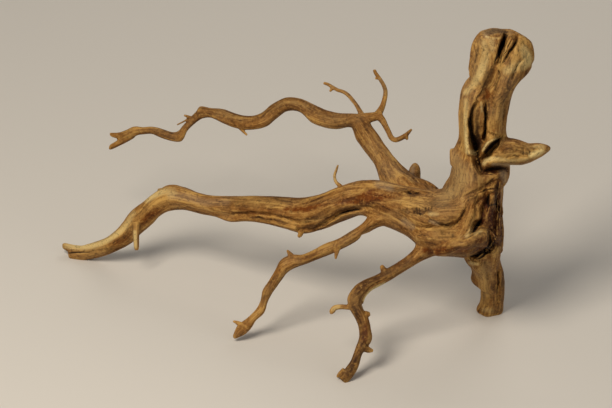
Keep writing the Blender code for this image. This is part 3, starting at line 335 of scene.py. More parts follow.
# Thin splits and wrinkles of the side that faces out, cut last, in the same form as the carved lines.
fineLines = [
    # Clefts of the trunk's top and the splinters between them
    [(14.5, 278, 2.4, 4), (12, 273, 2.6, 6), (9.6, 267, 2.5, 6), (7.3, 261, 2, 5), (4.8, 255, 1.5, 3.5),
     (3, 250, 1, 1.5)],
    [(18, 277, 1, 1.5), (14, 268, 0.9, 2.5), (11, 260, 0.9, 2.5), (9.3, 252, 0.8, 1.5)],
    [(20, 274, 0.8, 1.2), (16, 266, 0.9, 2.2), (12.5, 258, 0.8, 1.6)],
    [(26.5, 274.5, 1.3, 1.2), (23, 269.5, 1.6, 2.2), (18.5, 263.5, 1.6, 2.6), (15, 257.5, 1.3, 2),
     (11.5, 251.5, 1, 1.2)],
    [(5.5, 246, 0.8, 1), (7.8, 242, 1.2, 2.4), (8.6, 238.5, 1.2, 2.6), (6.8, 234, 1.2, 2.2),
     (4.8, 228, 1.1, 1.6), (3.4, 221, 0.9, 1)],
    # Crack of its right half
    [(31.5, 254.5, 0.8, 0.8), (27, 250, 1, 1.4), (23.5, 243.5, 1.1, 1.6), (21, 235.5, 1, 1.2),
     (18, 227, 0.8, 0.7)],
    # Slots on both sides of the tongue
    [(-16, 212, 1, 0.8), (-18.6, 207, 1.5, 1.6), (-20.4, 199, 1.8, 2.4), (-20.4, 189, 2.2, 2.8),
     (-19, 181, 2.8, 2.8), (-16.6, 173, 3.4, 2.8), (-15, 166, 3, 2.4)],
    [(-5.4, 213.5, 1, 1), (-5.8, 207, 1.5, 2.4), (-6, 197, 1.6, 3), (-5.8, 187, 1.7, 3),
     (-5.8, 177, 1.8, 2.4)],
    # Torn gap, pit, spur and the recess under it
    [(-6, 162, 1.6, 3.5), (-3, 166, 2.4, 5), (1.5, 170.5, 2.7, 5), (6, 174, 2.2, 4), (9.5, 176.5, 1.3, 2)],
    [(-11.5, 164, 1, 2), (-13, 159, 1.4, 3), (-12, 154, 1.6, 3), (-10, 148, 1.6, 3.4), (-8.5, 144, 1.3, 2.4)],
    [(-16, 155, 0.9, 1.6), (-13, 151, 1, 2), (-10, 149, 0.8, 1.4)],
    [(-17, 150, 0.8, 1.4), (-14, 154, 0.9, 1.6), (-10, 157, 0.8, 1.4)],
    [(32.6, 164.5, 1.3, 1.4), (32.4, 160, 1.5, 1.8)],
    [(39, 163.5, 1, 1.1), (39.2, 160, 1, 1.3)],
    [(36.5, 171.5, 0.9, 0.9), (34.5, 168, 1.1, 1.3), (31.5, 165, 0.9, 1)],
    [(-6, 143.5, 1.8, 1.4), (-1, 146, 2.4, 2), (7, 146.5, 2.6, 2), (15, 146.5, 2.2, 1.6)],
    # Wrinkles over the rotten side
    [(-8, 141.5, 0.8, 1.2), (-2, 140.5, 0.9, 1.4), (5, 141, 0.8, 1.2)],
    [(-4, 130.5, 0.9, 1.2), (-0.5, 133.5, 1, 1.8), (4, 137, 0.8, 1.1)],
    [(-10.5, 122.2, 1, 1.6), (-6, 124.8, 1.2, 2.4), (0, 125.6, 1.1, 2.2), (7, 127, 0.8, 1.4)],
    [(-26.5, 112.5, 0.9, 1.2), (-25, 115.5, 1, 1.6), (-23, 117.7, 1, 1.5), (-17.5, 119.4, 0.9, 1.3),
     (-12, 122.4, 0.8, 1)],
    # Rotten side
    [(-1.2, 121.5, 1.3, 2.2), (-2.5, 116.5, 1.8, 3.2), (-2.4, 110, 1.5, 3), (-3.5, 104, 1, 1.5)],
    [(5.8, 117.5, 1, 2), (5.5, 111, 1.2, 3), (5.4, 104.5, 0.9, 1.6)],
    [(8.6, 124, 0.8, 1.2), (8, 115, 0.8, 1.5), (8.4, 103, 0.9, 2), (7.6, 94, 1, 2.4), (7.4, 86, 0.9, 1.8)],
    [(1.8, 106, 0.8, 1.2), (2.2, 98, 0.8, 1.4), (1.5, 90, 0.7, 1)],
    [(11, 109, 0.7, 1.2), (11.4, 98, 0.8, 1.4), (12, 87, 0.7, 1)],
    [(-11.5, 111, 0.9, 1.4), (-8.5, 108, 1, 1.8), (-7.5, 103, 0.9, 1.4)],
    # Pit, lobe and the gap over the foot
    [(-10, 95.5, 1.3, 2.4), (-12.2, 91, 2.1, 5), (-15, 87, 2.2, 5), (-17.2, 83.4, 1.5, 3)],
    [(-17.4, 82.6, 0.8, 1.2), (-15.5, 79, 0.7, 0.9)],
    [(-2, 84, 1, 1.6), (-0.8, 78, 1.4, 3), (-0.6, 72.5, 1.8, 4), (-3.5, 67.5, 1.9, 4), (-9, 63.5, 2, 4),
     (-15, 60.5, 2, 4), (-20, 59, 1.4, 2)],
    [(5, 75, 1, 2), (2.5, 70.5, 1.8, 4), (1.5, 66.5, 1.8, 4), (-4, 63, 1.6, 3), (-9, 58, 1.8, 3.4),
     (-14, 56.5, 1.4, 2.2)],
    [(-12, 70.5, 0.8, 1.2), (-7.5, 71.5, 0.9, 1.4), (-3.5, 75, 0.8, 1.2)],
    [(-33.5, 74.5, 0.7, 0.7), (-29, 77.6, 0.9, 1.2), (-25, 82.2, 0.9, 1.4), (-21.4, 87.5, 0.8, 1)],
    # Fold, wrinkles, holes and split of the body
    [(-24.7, 108, 1, 1), (-26.2, 103.5, 1.2, 1.6), (-29.6, 99, 1.2, 1.6), (-33.5, 95.5, 1, 1)],
    [(-37.5, 93, 1.2, 1.4), (-43, 90.8, 1.6, 2.2), (-49.5, 90.4, 1.4, 2), (-54, 92.2, 1, 1.2),
     (-60, 95.4, 0.9, 1), (-65, 99, 0.8, 0.6)],
    [(-69, 87, 0.6, 1.2), (-60, 87.8, 0.7, 1.6), (-50, 88.8, 0.7, 1.6), (-41, 90.4, 0.6, 1)],
    [(-79, 103.5, 0.8, 0.8), (-74, 102.4, 1.4, 1.8), (-69, 101.4, 1.4, 2), (-65.5, 103, 0.9, 1)],
    [(-75, 106.6, 0.6, 1), (-74.6, 102, 0.7, 1.3)],
    [(-72.8, 107.2, 0.6, 1.1), (-72.4, 101, 0.7, 1.4)],
    [(-70.6, 107, 0.6, 1), (-70.2, 100, 0.7, 1.4)],
    [(-68.1, 105, 0.6, 1), (-68, 100, 0.6, 1.2)],
    [(-64.6, 107.2, 0.7, 1.4), (-64.7, 104, 0.7, 1.4)],
    [(-61.7, 107.4, 0.6, 1.1), (-62, 105, 0.6, 1)],
    [(-58.6, 107.6, 0.6, 1), (-59.2, 105.4, 0.6, 0.9)],
    [(-81.6, 122, 1.4, 1.8), (-79.4, 121, 1.4, 1.8)],
    [(-75.2, 121.8, 1.1, 1.4), (-72.4, 121, 1.1, 1.4)],
    [(-57.6, 123.2, 0.7, 1), (-56, 124.6, 0.7, 1)],
    # Long root
    [(-165, 91, 0.8, 0.8), (-159, 94.4, 1, 1.3), (-153, 99, 1.3, 2.2), (-147, 102.4, 1.5, 3),
     (-140, 104.4, 1.4, 3), (-133, 105.6, 1.2, 2.4), (-128, 105.4, 0.9, 1.2)],
    [(-250, 98, 0.6, 0.7), (-241, 98.6, 0.9, 1.2), (-232, 97.8, 1.1, 1.6), (-224, 96.4, 0.9, 1.6),
     (-214, 94.4, 0.8, 1.4), (-202, 91.6, 0.8, 1.4), (-191, 89.4, 0.7, 1)],
    [(-185, 95.6, 0.6, 0.7), (-176, 95.2, 0.8, 1.1), (-165, 96.6, 0.8, 1), (-156, 100.2, 0.6, 0.7)],
    [(-181, 88.4, 0.6, 0.8), (-173, 89.6, 0.8, 1.1), (-164, 93.2, 0.7, 1), (-157, 97.6, 0.6, 0.7)],
    [(-145, 115.6, 0.7, 0.7), (-136, 117.8, 0.9, 1), (-128, 119, 0.7, 0.7)],
    [(-133, 111, 0.7, 0.8), (-124, 111.6, 1, 1.2), (-115, 111.4, 0.8, 1)],
    [(-318, 105, 0.6, 0.6), (-312, 106.4, 0.7, 0.8)],
    [(-424, 61.5, 1, 1.5), (-415, 62.4, 1.2, 1.6), (-404, 62.4, 1, 1.4), (-392, 64.5, 0.7, 0.7)],
    [(-414, 68.5, 0.6, 0.5), (-402, 68, 0.7, 0.7), (-388, 71.5, 0.6, 0.6), (-374, 79, 0.6, 0.5)],
    [(-340, 114, 0.6, 0.5), (-330, 117, 0.7, 0.6), (-318, 117, 0.6, 0.5)],
    [(-308, 112, 0.6, 0.5), (-294, 109, 0.8, 0.8), (-278, 106, 0.8, 0.8), (-264, 104.5, 0.6, 0.5)],
    [(-228, 109, 0.6, 0.5), (-212, 108, 0.8, 0.7), (-194, 108.5, 0.8, 0.7), (-178, 111, 0.6, 0.5)],
    # Front root and foot
    [(-125.5, 22, 0.8, 1.2), (-121, 27.4, 0.9, 1.5), (-114, 32.2, 0.9, 1.5), (-104, 37, 0.7, 1)],
    [(-126, -26.5, 1, 1.2), (-122.5, -30.5, 1.2, 1.6)],
    [(6.4, 53, 0.9, 1.6), (7.4, 43, 1.1, 2.4), (8, 32, 1.1, 2.4), (7, 20, 1, 2), (8, 11, 0.8, 1.2)],
    [(-20, 56.5, 1, 1.6), (-16, 54, 1.2, 2), (-11, 54, 1, 1.6)],
    # Mottled spur
    [(-2, 160, 0.8, 0.8), (4, 162, 1, 1.2), (10, 160.5, 0.9, 1), (16, 162.5, 0.8, 0.8)],
    [(15, 156.5, 0.7, 0.7), (22, 159, 0.9, 1), (28, 158, 0.8, 0.8)],
    [(18, 171, 0.7, 0.7), (24, 169.5, 0.9, 1), (28, 166.5, 0.8, 0.8)],
    [(43, 165, 0.8, 0.8), (47, 166.5, 0.8, 0.8)],
    [(21, 165, 0.8, 0.9), (25, 163.5, 0.9, 1)],
    [(45, 157, 0.7, 0.7), (41.5, 155.5, 0.7, 0.7)],
    # Bright facets and hollows of the trunk's head
    [(-5, 273, 0.8, 0.6), (-7, 265, 1, 0.9), (-10, 258, 1, 1), (-12.5, 252, 0.9, 0.8)],
    [(-2, 269, 0.7, 0.5), (-3, 260, 0.9, 0.8), (-7, 251, 0.8, 0.7)],
    [(-16.5, 257, 0.8, 0.6), (-18.5, 249, 1, 1), (-19, 242, 1, 1), (-21, 235, 0.8, 0.7)],
    [(-6, 245, 0.8, 0.7), (-11, 240, 1, 1), (-13.5, 234, 0.9, 0.8), (-20, 229, 0.8, 0.7)],
    [(-24, 223, 0.8, 0.7), (-26.5, 216, 0.9, 1), (-27.4, 207, 0.8, 0.8)],
    [(37, 263, 0.7, 0.6), (34, 256, 0.9, 0.9), (29.5, 251, 0.8, 0.8)],
    [(20, 245, 0.7, 0.6), (16, 238, 0.9, 0.8), (13, 229, 0.8, 0.7)],
]

# Thin ridges and splinters raised on it.
fineRidges = [
    # Splinters, torn strips and chunk
    [(16, 274, 1.2, 1.2), (12, 264, 1.2, 1.5), (8.6, 254, 1.2, 1.5), (7.4, 247, 1, 1)],
    [(22, 273, 1.3, 1.2), (18, 268, 1.2, 1.2), (14, 262, 1, 1)],
    [(-8.5, 163, 1.2, 2), (-6.4, 168, 1.4, 2.6), (-3, 172, 1.4, 2.6), (1.5, 174.4, 1.2, 2),
     (5, 175, 0.9, 1.2)],
    [(-24, 166, 1.6, 1.4), (-21, 161.5, 1.9, 2.2), (-16, 162.4, 1.6, 2), (-13, 164, 1.1, 1.4)],
    [(-18, 158.5, 1.1, 1.2), (-14.5, 160, 1.1, 1.4)],
    [(-16, 147, 0.8, 1), (-12, 153, 0.9, 1.2), (-9, 157, 0.8, 1)],
    # Edges of the folds
    [(-23, 111, 1.2, 0.7), (-25.4, 101, 1.5, 1), (-32, 93, 1.5, 1)],
    [(-27, 74, 1.4, 0.7), (-22, 81, 1.6, 1.2), (-17, 89, 1.6, 1.2), (-12, 95.5, 1.2, 0.7)],
    [(-16, 80, 1.8, 1), (-10, 84.4, 2.2, 1.8), (-4, 82, 2, 1.6), (-3, 76, 1.6, 1)],
    [(-23, 57, 1.1, 1), (-20, 52.5, 1.3, 1.4), (-14, 50.6, 1.2, 1), (-8, 51.4, 1, 0.7)],
    [(-242, 100.4, 1.1, 0.7), (-226, 99.4, 1.2, 0.9), (-208, 95.4, 1.2, 0.9), (-192, 91.4, 1, 0.7)],
    [(-160, 91.2, 1.3, 0.7), (-149, 99, 1.6, 1), (-138, 102, 1.4, 0.8)],
]

# Small knots: across, up and radius.
knots = [(-102, 119.5, 3.4), (-93.4, 118.4, 3.2)]

# Strokes that mark where the wood looks different, on the side that faces out, and where shade and light are
# painted on it: across, up, radius, strength.
marks = {
    "greyed": [
        [(-37, 157, 10, 0.72), (-30, 135, 20, 0.8), (-46, 114, 20, 0.64), (-74, 106, 14, 0.32)],
        [(-8, 282, 5, 1), (6, 284, 5, 1), (17, 281, 5, 0.8)],
        [(-8, 271, 12, 0.6), (-12, 247, 13, 0.6), (-22, 220, 11, 0.6), (-28, 185, 8, 0.5)],
        [(26, 265, 12, 0.4), (16, 237, 12, 0.5), (7, 205, 12, 0.4)],
        [(-98, 138, 14, 0.4), (-116, 168, 12, 0.5)],
        [(-136, 16, 12, 0.4), (-138, 6, 10, 0.4)],
        [(-4, 47, 9, 0.6), (-3, 25, 8, 0.6)],
        [(-104, 223, 5, 0.7), (-106, 240, 5, 0.7), (-122, 208, 5, 0.6), (-140, 223, 5, 0.6),
         (-156, 231, 5, 0.6)],
    ],
    # Golden tint, and painted light on the trunk's right half, which the lamps leave in shade
    "golden": [
        [(-8, 267, 10, 0.5), (-10, 249, 10, 0.5), (-14, 231, 9, 0.5)],
        [(25, 259, 9, 0.4), (34, 255, 9, 0.5), (18, 243, 8, 0.5)],
        [(7, 211, 8, 0.3), (6, 193, 8, 0.4)],
        [(-27, 211, 6, 0.4), (-26, 185, 6, 0.7), (-26, 167, 6, 0.8)],
        [(9, 253, 4, 0.8), (9, 246, 4, 0.8), (13, 263, 3, 0.6), (18, 271, 3, 0.5)],
        [(0, 155, 6, 0.8), (18, 157, 8, 0.7), (34, 159, 7, 0.6), (50, 164, 6, 0.6)],
        [(24, 168, 6, 0.3), (44, 167, 5, 0.4)],
        [(0, 179, 4, 0.6), (8, 178, 4, 0.7), (14, 179, 3, 0.5)],
        [(-250, 112, 7, 0.4), (-228, 112, 7, 0.4), (-205, 112, 6, 0.3)],
        [(-325, 115, 8, 0.4), (-340, 111, 8, 0.4), (-352, 101, 8, 0.3), (-366, 83, 8, 0.4),
         (-390, 67, 7, 0.4),
         (-414, 65, 6, 0.4)],
        [(-98, 115, 7, 0.4), (-78, 113, 8, 0.5), (-62, 111, 7, 0.3)],
        [(-20, 79, 6, 0.35), (-10, 82, 6, 0.4), (-4, 79, 4, 0.25)],
        [(-50, 83, 9, 0.3), (-38, 77, 9, 0.3)],
        [(2, 65, 6, 0.5), (8, 65, 4, 0.6)],
        [(-6, 25, 6, 0.4), (-4, 11, 7, 0.5)],
        [(-22, 93, 6, 0.4), (-18, 101, 5, 0.4)],
        [(26, 265, 9, 0.6), (34, 255, 8, 0.8), (30, 249, 6, 0.5)],
        [(-8, 47, 6, 0.5), (-5, 31, 6, 0.6), (-4, 13, 6, 0.5)],
        [(30, 269, 6, 0.7), (37, 257, 6, 0.9), (31, 247, 5, 0.7)],
    ],
    "orange": [
        [(-204, 105.5, 2.6, 0.7), (-192, 105.5, 3, 1), (-178, 107.5, 3, 0.8), (-164, 110.5, 3, 0.5)],
        [(-154, 110, 4, 0.5), (-145, 114, 5, 0.7), (-134, 114, 6, 0.8), (-123, 118, 8, 0.9),
         (-112, 119, 6, 0.7), (-102, 118, 5, 0.6), (-92, 119, 5, 0.5)],
        [(-122, 123, 5, 0.7), (-114, 125, 5, 0.5)],
        [(-110, 108, 6, 0.4), (-95, 109, 6, 0.4)],
        [(-6, 225, 3.5, 0.8), (-4, 218, 3.5, 0.9), (-9, 216, 3, 0.5)],
        [(2, 223, 2.5, 0.4), (1.5, 209, 2.5, 0.4)],
        [(-66, 64, 4, 0.7), (-52, 64.5, 5, 0.8), (-38, 65, 5, 0.7), (-24, 66, 4, 0.6)],
        [(-60, 72, 5, 0.4), (-44, 71, 5, 0.4)],
        [(-12, 74, 4, 0.7), (-6, 75, 3.5, 0.6)],
        [(-348, 93, 4, 0.6), (-343, 98, 5, 0.7), (-334, 103, 5, 0.5)],
        [(-380, 71, 5, 0.5), (-370, 75, 5, 0.6), (-360, 82, 4, 0.4)],
        [(-250, 104, 3, 0.4), (-228, 104, 3.5, 0.4), (-212, 104, 3, 0.4)],
        [(-120, -3, 3.5, 0.3), (-125, -15, 4, 0.8), (-126, -25, 4.5, 1)],
        [(-98, 49, 4, 0.5), (-88, 54, 4, 0.5)],
        [(-125, 35, 3, 0.3), (-134, 27, 3, 0.3)],
        [(-12, 112, 4, 0.5), (-4, 121.4, 3, 0.5), (4, 121.5, 3, 0.4)],
        [(-17, 109, 3, 0.3), (-16, 101, 3, 0.3)],
        [(-145, 115, 6, 0.7), (-132, 115, 7, 1), (-120, 117, 8, 1), (-110, 118, 6, 0.8)],
        [(-206, 105.5, 3.4, 0.6), (-185, 106, 3.6, 0.8), (-172, 108, 3, 0.5)],
        [(-250, 107, 5, 0.35), (-228, 107, 5, 0.35)],
    ],
    # Dark brown, and painted shade: along the step beside the trunk's left cheek, over the tongue, under the
    # lobe, and over the lit tops of the upper branch, the front root and the knob
    "umber": [
        [(0, 244, 2.4, 0.7), (-3.5, 237, 2.8, 0.8), (-6.5, 229, 2.6, 0.7), (-10.5, 221, 2.4, 0.6),
         (-16, 214, 2, 0.5)],
        [(5, 233, 2.4, 0.7), (3, 221, 2.4, 0.6), (2, 207, 2, 0.5)],
        [(28, 251, 2.2, 0.5), (23.5, 244, 2.6, 0.7), (21, 235, 2.4, 0.7), (17, 225, 2, 0.5)],
        [(-10.5, 275, 1.4, 0.5), (-13, 265, 1.4, 0.5), (-16.5, 253, 1.3, 0.4)],
        [(-6, 276, 1, 0.4), (-9, 265, 1, 0.4)],
        [(13, 265, 1.2, 0.7), (10, 257, 1.2, 0.8), (9, 250, 1.2, 0.6)],
        [(-15, 209, 3, 0.4), (-15, 197, 4, 0.6), (-14, 185, 5, 0.9), (-13, 173, 6, 1)],
        [(-23, 196, 1.2, 0.8), (-21.8, 184, 1.4, 0.8), (-20, 169, 1.6, 0.7)],
        [(-23.6, 191, 0.9, 0.4), (-23, 175, 0.9, 0.4)],
        [(16, 231, 3, 0.4), (12, 219, 4, 0.3), (10, 199, 4, 0.3)],
        [(32.5, 162, 2.2, 0.9), (39, 161.6, 1.8, 0.8), (34.5, 168, 1.8, 0.6)],
        [(13, 169, 4, 0.35), (22, 164, 4, 0.3), (15, 159, 3, 0.3)],
        [(-16, 143, 5, 0.3), (-12, 133, 6, 0.4), (-4, 134, 5, 0.5), (2, 131, 5, 0.5)],
        [(-22, 119, 3, 0.4), (-16, 119, 3, 0.5)],
        [(-74, 103.5, 4.5, 0.8), (-67, 103, 4, 0.8), (-59, 106.4, 2.6, 0.5)],
        [(-90, 104, 3, 0.6), (-82, 103.5, 3, 0.7)],
        [(-150, 104, 3, 0.6), (-138, 106.5, 3, 0.7), (-128, 109, 4, 0.6)],
        [(-145, 115.5, 3, 0.8), (-135, 117, 3, 0.6)],
        [(-130, 112, 3, 0.9), (-122, 111, 3.4, 0.9), (-114, 112, 3, 0.7)],
        [(-184, 95, 3, 0.6), (-172, 96, 3.4, 0.7), (-160, 100, 3, 0.5)],
        [(-186, 88, 3, 0.5), (-174, 87.5, 3, 0.6), (-164, 92, 3, 0.5)],
        [(-240, 97.6, 1.8, 0.8), (-231, 97.4, 2.2, 0.9), (-220, 95.4, 1.8, 0.8), (-204, 92, 1.8, 0.8)],
        [(-254, 108, 2, 0.35), (-234, 108.5, 2.4, 0.4), (-214, 110, 2, 0.3)],
        [(-258, 102, 2, 0.4), (-244, 102, 2, 0.3)],
        [(-104, 125, 2.6, 0.6), (-90, 125, 3, 0.7), (-80, 121.5, 4, 0.8), (-72, 121.5, 3, 0.7)],
        [(-124, 125, 2, 0.3), (-110, 127, 2.4, 0.4)],
        [(-50, 83.5, 2.4, 0.6), (-48, 82, 2, 0.5)],
        [(-36, 66.4, 2.6, 0.7), (-32, 66.6, 2, 0.5)],
        [(-34, 99, 3, 0.3), (-44, 93, 4, 0.6), (-52, 92.5, 3, 0.5)],
        [(-27, 104, 2.4, 0.5), (-30, 99, 2.4, 0.5)],
        [(-20, 66, 4, 0.7), (-12, 67, 4, 0.8), (-20, 62, 4, 0.8)],
        [(-26, 60, 3, 0.8), (-42, 60.4, 2, 0.5)],
        [(-126, -30, 3, 0.9), (-121, -34, 3, 0.6)],
        [(14, 43, 3, 0.9), (13, 27, 3, 0.8), (12, 13, 3, 0.6)],
        [(4, 39, 2.4, 0.5), (5, 23, 2.4, 0.5)],
        [(-6, 49, 6, 0.4), (-2, 39, 5, 0.3)],
        [(-72, 141, 4, 0.8), (-73, 147, 2, 0.4)],
        [(-363, 86, 2, 0.7), (-358, 89, 2, 0.6)],
        [(-352.5, 79, 1.6, 0.6), (-352, 68, 1.6, 0.5)],
        [(-402, 63.5, 1.8, 0.5), (-390, 65, 1.8, 0.4), (-378, 68, 1.8, 0.4)],
        [(-318, 106, 1.8, 0.5), (-300, 107, 1.6, 0.3)],
        [(-6, 282, 4, 0.5), (6, 283, 4.5, 0.6), (15, 281, 4, 0.5)],
        [(-124, 168, 9, 0.2), (-138, 190, 9, 0.35), (-160, 198, 9, 0.5), (-190, 210, 9, 0.6),
         (-220, 208, 9, 0.6), (-250, 199, 9, 0.5), (-280, 203, 8, 0.5), (-304, 195, 8, 0.4),
         (-330, 183, 8, 0.4), (-370, 178, 8, 0.4)],
        [(-86, 53, 6, 0.5), (-100, 45, 8, 0.8), (-116, 37, 8, 0.9), (-130, 27, 9, 0.9), (-134, 15, 9, 0.7),
         (-133, 1, 9, 0.8), (-128, -15, 9, 0.8), (-127, -30, 9, 0.9), (-135, -47, 8, 1), (-144, -61, 9, 1)],
        [(-14, 75, 5, 0.6), (-6, 77, 5, 0.7), (-4, 72, 4, 0.8)],
        [(-80, 143, 6, 0.4), (-76, 135, 6, 0.5), (-75, 148, 5, 0.3)],
        [(-260, 115, 6, 0.4), (-230, 115, 6, 0.5), (-200, 115, 6, 0.5), (-170, 116, 6, 0.4)],
        [(18, 165, 6, 0.4), (32, 166, 6, 0.4), (43, 166, 4, 0.4)],
        [(-6, 3, 4, 0.4), (6, 3, 5, 0.4), (12, 7, 4, 0.4)],
        [(-17, 193, 2.6, 0.4), (-16.4, 181, 3.6, 0.8), (-15.5, 169, 4.6, 1)],
        [(17, 154, 2, 0.5), (20, 154.5, 2, 0.4)],
        [(28, 155, 2, 0.5), (31, 155.4, 2, 0.4)],
        [(7, 152.4, 1.6, 0.4), (10, 152.6, 1.6, 0.3)],
        [(-34, 143, 14, 0.25), (-40, 125, 16, 0.25), (-58, 115, 14, 0.2)],
        [(-98, 49, 7, 0.4), (-112, 39, 7, 0.4), (-130, 25, 7, 0.4), (-133, 5, 7, 0.4), (-128, -15, 7, 0.4),
         (-136, -49, 7, 0.5)],
        [(-75, 147, 5, 0.4), (-76, 141, 5, 0.4)],
        [(-6, 271, 10, 0.15), (-10, 249, 10, 0.15), (-16, 227, 8, 0.15)],
        [(-104, 223, 5, 0.35), (-105, 239, 5, 0.35), (-122, 208, 5, 0.35), (-140, 223, 5, 0.35),
         (-156, 231, 5, 0.3)],
        [(-98, 195, 5, 0.4), (-90, 177, 5, 0.4), (-78, 184, 5, 0.4)],
        [(-16, 81, 5, 0.5), (-8, 82, 6, 0.6), (-3, 75, 4, 0.7)],
        [(-76, 148, 5, 0.7), (-76, 138, 6, 0.7)],
        [(-190, 53, 7, 0.3), (-170, 63, 7, 0.3), (-140, 79, 7, 0.3), (-205, 39, 6, 0.3), (-228, 15, 6, 0.3)],
        [(5, 158, 2.4, 0.4), (12, 157, 2.4, 0.5)],
        [(22, 155, 2.6, 0.6), (27, 157, 2.6, 0.6)],
        [(38, 157, 2, 0.5), (41, 158, 2, 0.4)],
    ],
    "rotAndShade": [
        [(10, 137, 4, 0.6), (9, 129, 5, 0.8), (2, 125, 4, 0.6)],
        [(-6, 115, 6, 0.9), (-3, 107, 6, 1), (2, 99, 7, 1), (3, 87, 8, 1), (6, 75, 7, 1)],
        [(7, 119, 5, 0.9), (8, 105, 5, 0.9), (10, 89, 4, 0.8), (10, 75, 4, 0.9)],
        [(-8, 101, 4, 0.8), (-6, 93, 5, 0.9)],
        [(-10, 65, 6, 0.7), (0, 68, 6, 0.8)],
        [(-15, 158, 3.4, 0.6), (-12, 150, 4, 0.7)],
        # These two also paint shade: on the tongue's bottom and in the recess under the spur
        [(-6, 182, 2, 0.6), (-14, 169, 4, 0.7)],
        [(-5, 143, 6, 0.8), (5, 144, 6, 0.9), (14, 144, 5, 0.8)],
        [(-13, 74, 4, 0.5), (-6, 76, 5, 0.6), (-3, 72, 4, 0.6)],
    ],
    # Grey-tan weathered wood, and painted highlights on the spur's lower edge and the long root's top edges
    "ashAndHighlight": [
        [(2, 150.4, 2.2, 0.6), (16, 150, 2.2, 0.5), (30, 149.4, 2.2, 0.5), (40, 152, 2, 0.3)],
        [(-60, 94, 3, 0.5), (-53, 91.5, 3, 0.5)],
        [(12, 143, 5, 0.5), (14, 135, 4, 0.4)],
        [(-112, 131, 5, 0.4), (-100, 127, 5, 0.35)],
        [(-86, 93, 5, 0.4), (-78, 88, 4, 0.4)],
        [(-77, 149, 3, 0.3), (-78, 143, 3, 0.3)],
        [(-320, 119, 5, 0.3), (-304, 118, 5, 0.3), (-285, 113, 5, 0.25), (-264, 113, 5, 0.2)],
        [(-6, 278, 3, 0.4), (-4, 276, 2, 0.3)],
    ],
    # Painted highlights on rims, the long root's top edges and the spur's bright tip, with the pale wood of
    # fresh torn edges
    "pale": [
        [(-34, 155, 7, 0.1), (-31, 140, 10, 0.14), (-33, 127, 9, 0.14), (-41, 122, 8, 0.21),
         (-50, 113, 8, 0.12)],
        [(-7, 271, 4, 0.35), (-6, 261, 5, 0.4), (-8, 249, 5, 0.6), (-13, 237, 5, 0.7), (-20, 227, 4, 0.5),
         (-25, 222, 4, 0.7)],
        [(0, 273, 4, 0.35), (1, 265, 4, 0.35)],
        [(34, 261, 5, 0.5), (37, 253, 5, 0.6), (15, 243, 5, 0.5), (23, 249, 4, 0.3)],
        [(-25, 214, 3, 0.5), (-25.5, 191, 2.2, 0.8), (-25, 177, 2.4, 0.9), (-24, 167, 2.4, 1)],
        [(-23, 163, 3.4, 1), (-16, 162, 3.2, 1)],
        [(-8, 164, 1.5, 0.9), (-4.5, 170.5, 1.7, 1), (1.5, 174.4, 1.7, 1), (6, 175.4, 1.4, 0.7)],
        [(-7, 151, 2.4, 0.9), (-3, 155.5, 3.2, 0.9), (8, 155.5, 2.6, 0.5), (22, 154, 2.2, 0.35),
         (36, 155.5, 2.4, 0.35)],
        [(41, 159, 3, 0.6), (47, 161, 2.8, 1), (51, 163.5, 2.2, 1)],
        [(52, 168, 3, 0.5), (44, 168, 2.4, 0.4)],
        [(-10, 211, 1.4, 0.5), (-9.2, 203, 1.4, 0.5)],
        [(-426, 69, 4, 0.7), (-406, 68, 4, 0.8), (-390, 72, 4, 0.8), (-376, 80, 4, 0.8), (-366, 89, 4, 0.6),
         (-358, 102, 4, 0.4)],
        [(-344, 115, 4, 0.7), (-336, 120, 4, 0.8), (-326, 124, 5, 0.6), (-318, 123, 6, 0.4)],
        [(-356, 83, 2.4, 0.8), (-355.4, 68, 2.6, 0.8)],
        [(-154, 132, 2, 0.5), (-156, 141, 2, 0.5), (-154, 149, 2, 0.5)],
        [(-20, 52.5, 2.2, 0.8), (-13, 51, 2, 0.7)],
        [(-24, 79, 3, 0.5), (-20, 85, 3, 0.5)],
        [(-126.5, 15, 1.6, 0.8), (-122, 22, 1.8, 1), (-114, 28, 1.8, 1), (-106, 32.4, 1.4, 0.6)],
        [(-60, 101, 3, 0.5), (-54, 101, 3, 0.3)],
        [(-152, 9, 3, 0.6), (-157, 6, 3, 0.6)],
        [(-6, 5, 3, 0.3), (2, 4, 3, 0.2)],
        [(-16, 81, 2, 0.4), (-10, 84.4, 2, 0.5)],
        [(40, 159.5, 3.4, 1), (46, 161.5, 4, 1), (51, 164, 3, 1)],
        [(32, 265, 5, 0.5), (35, 258, 6, 0.8), (37, 252, 5, 0.8), (31, 246, 4, 0.5)],
        [(-5.5, 277.4, 1.1, 0.7), (0, 275.8, 1, 0.5), (7, 275.4, 1, 0.5), (13, 276.8, 1, 0.3)],
    ],
    # Painted shade in the clefts, slots, pits, knot holes and the recess under the spur, and the small dark
    # stains of the body
    "cleftShadeAndStains": [
        [(14, 277, 1.6, 0.6), (11.5, 272, 1.9, 0.7), (9, 266, 1.9, 0.7), (7, 260.5, 1.6, 0.5),
         (4.8, 255, 1.1, 0.4)],
        [(-5, 163.5, 1.6, 1), (0, 169, 2.2, 1), (5, 173.2, 1.8, 0.9)],
        [(-11.5, 92.5, 1.6, 1), (-15, 86.5, 1.8, 1), (-17, 83.5, 1.2, 0.8)],
        [(-1, 77, 1.2, 0.9), (0, 71, 2.2, 1), (-5, 65.5, 2.2, 1), (-13, 60, 2, 1)],
        [(-2.2, 118, 1.4, 0.9), (-2.6, 110, 1.4, 0.9), (5.5, 111, 1, 0.8)],
        [(-147, 102.2, 1.1, 0.9), (-138, 104.6, 1.1, 1), (-131, 105.6, 0.9, 0.7)],
        [(-80.5, 121.5, 1.4, 0.9), (-79.5, 121, 1.2, 0.9)],
        [(-74.6, 121.6, 0.9, 0.7), (-73, 121, 0.9, 0.7)],
        [(25, 273, 1, 0.35), (21.6, 268, 1.4, 0.5), (18, 263, 1.4, 0.5), (14.6, 257, 1.1, 0.4)],
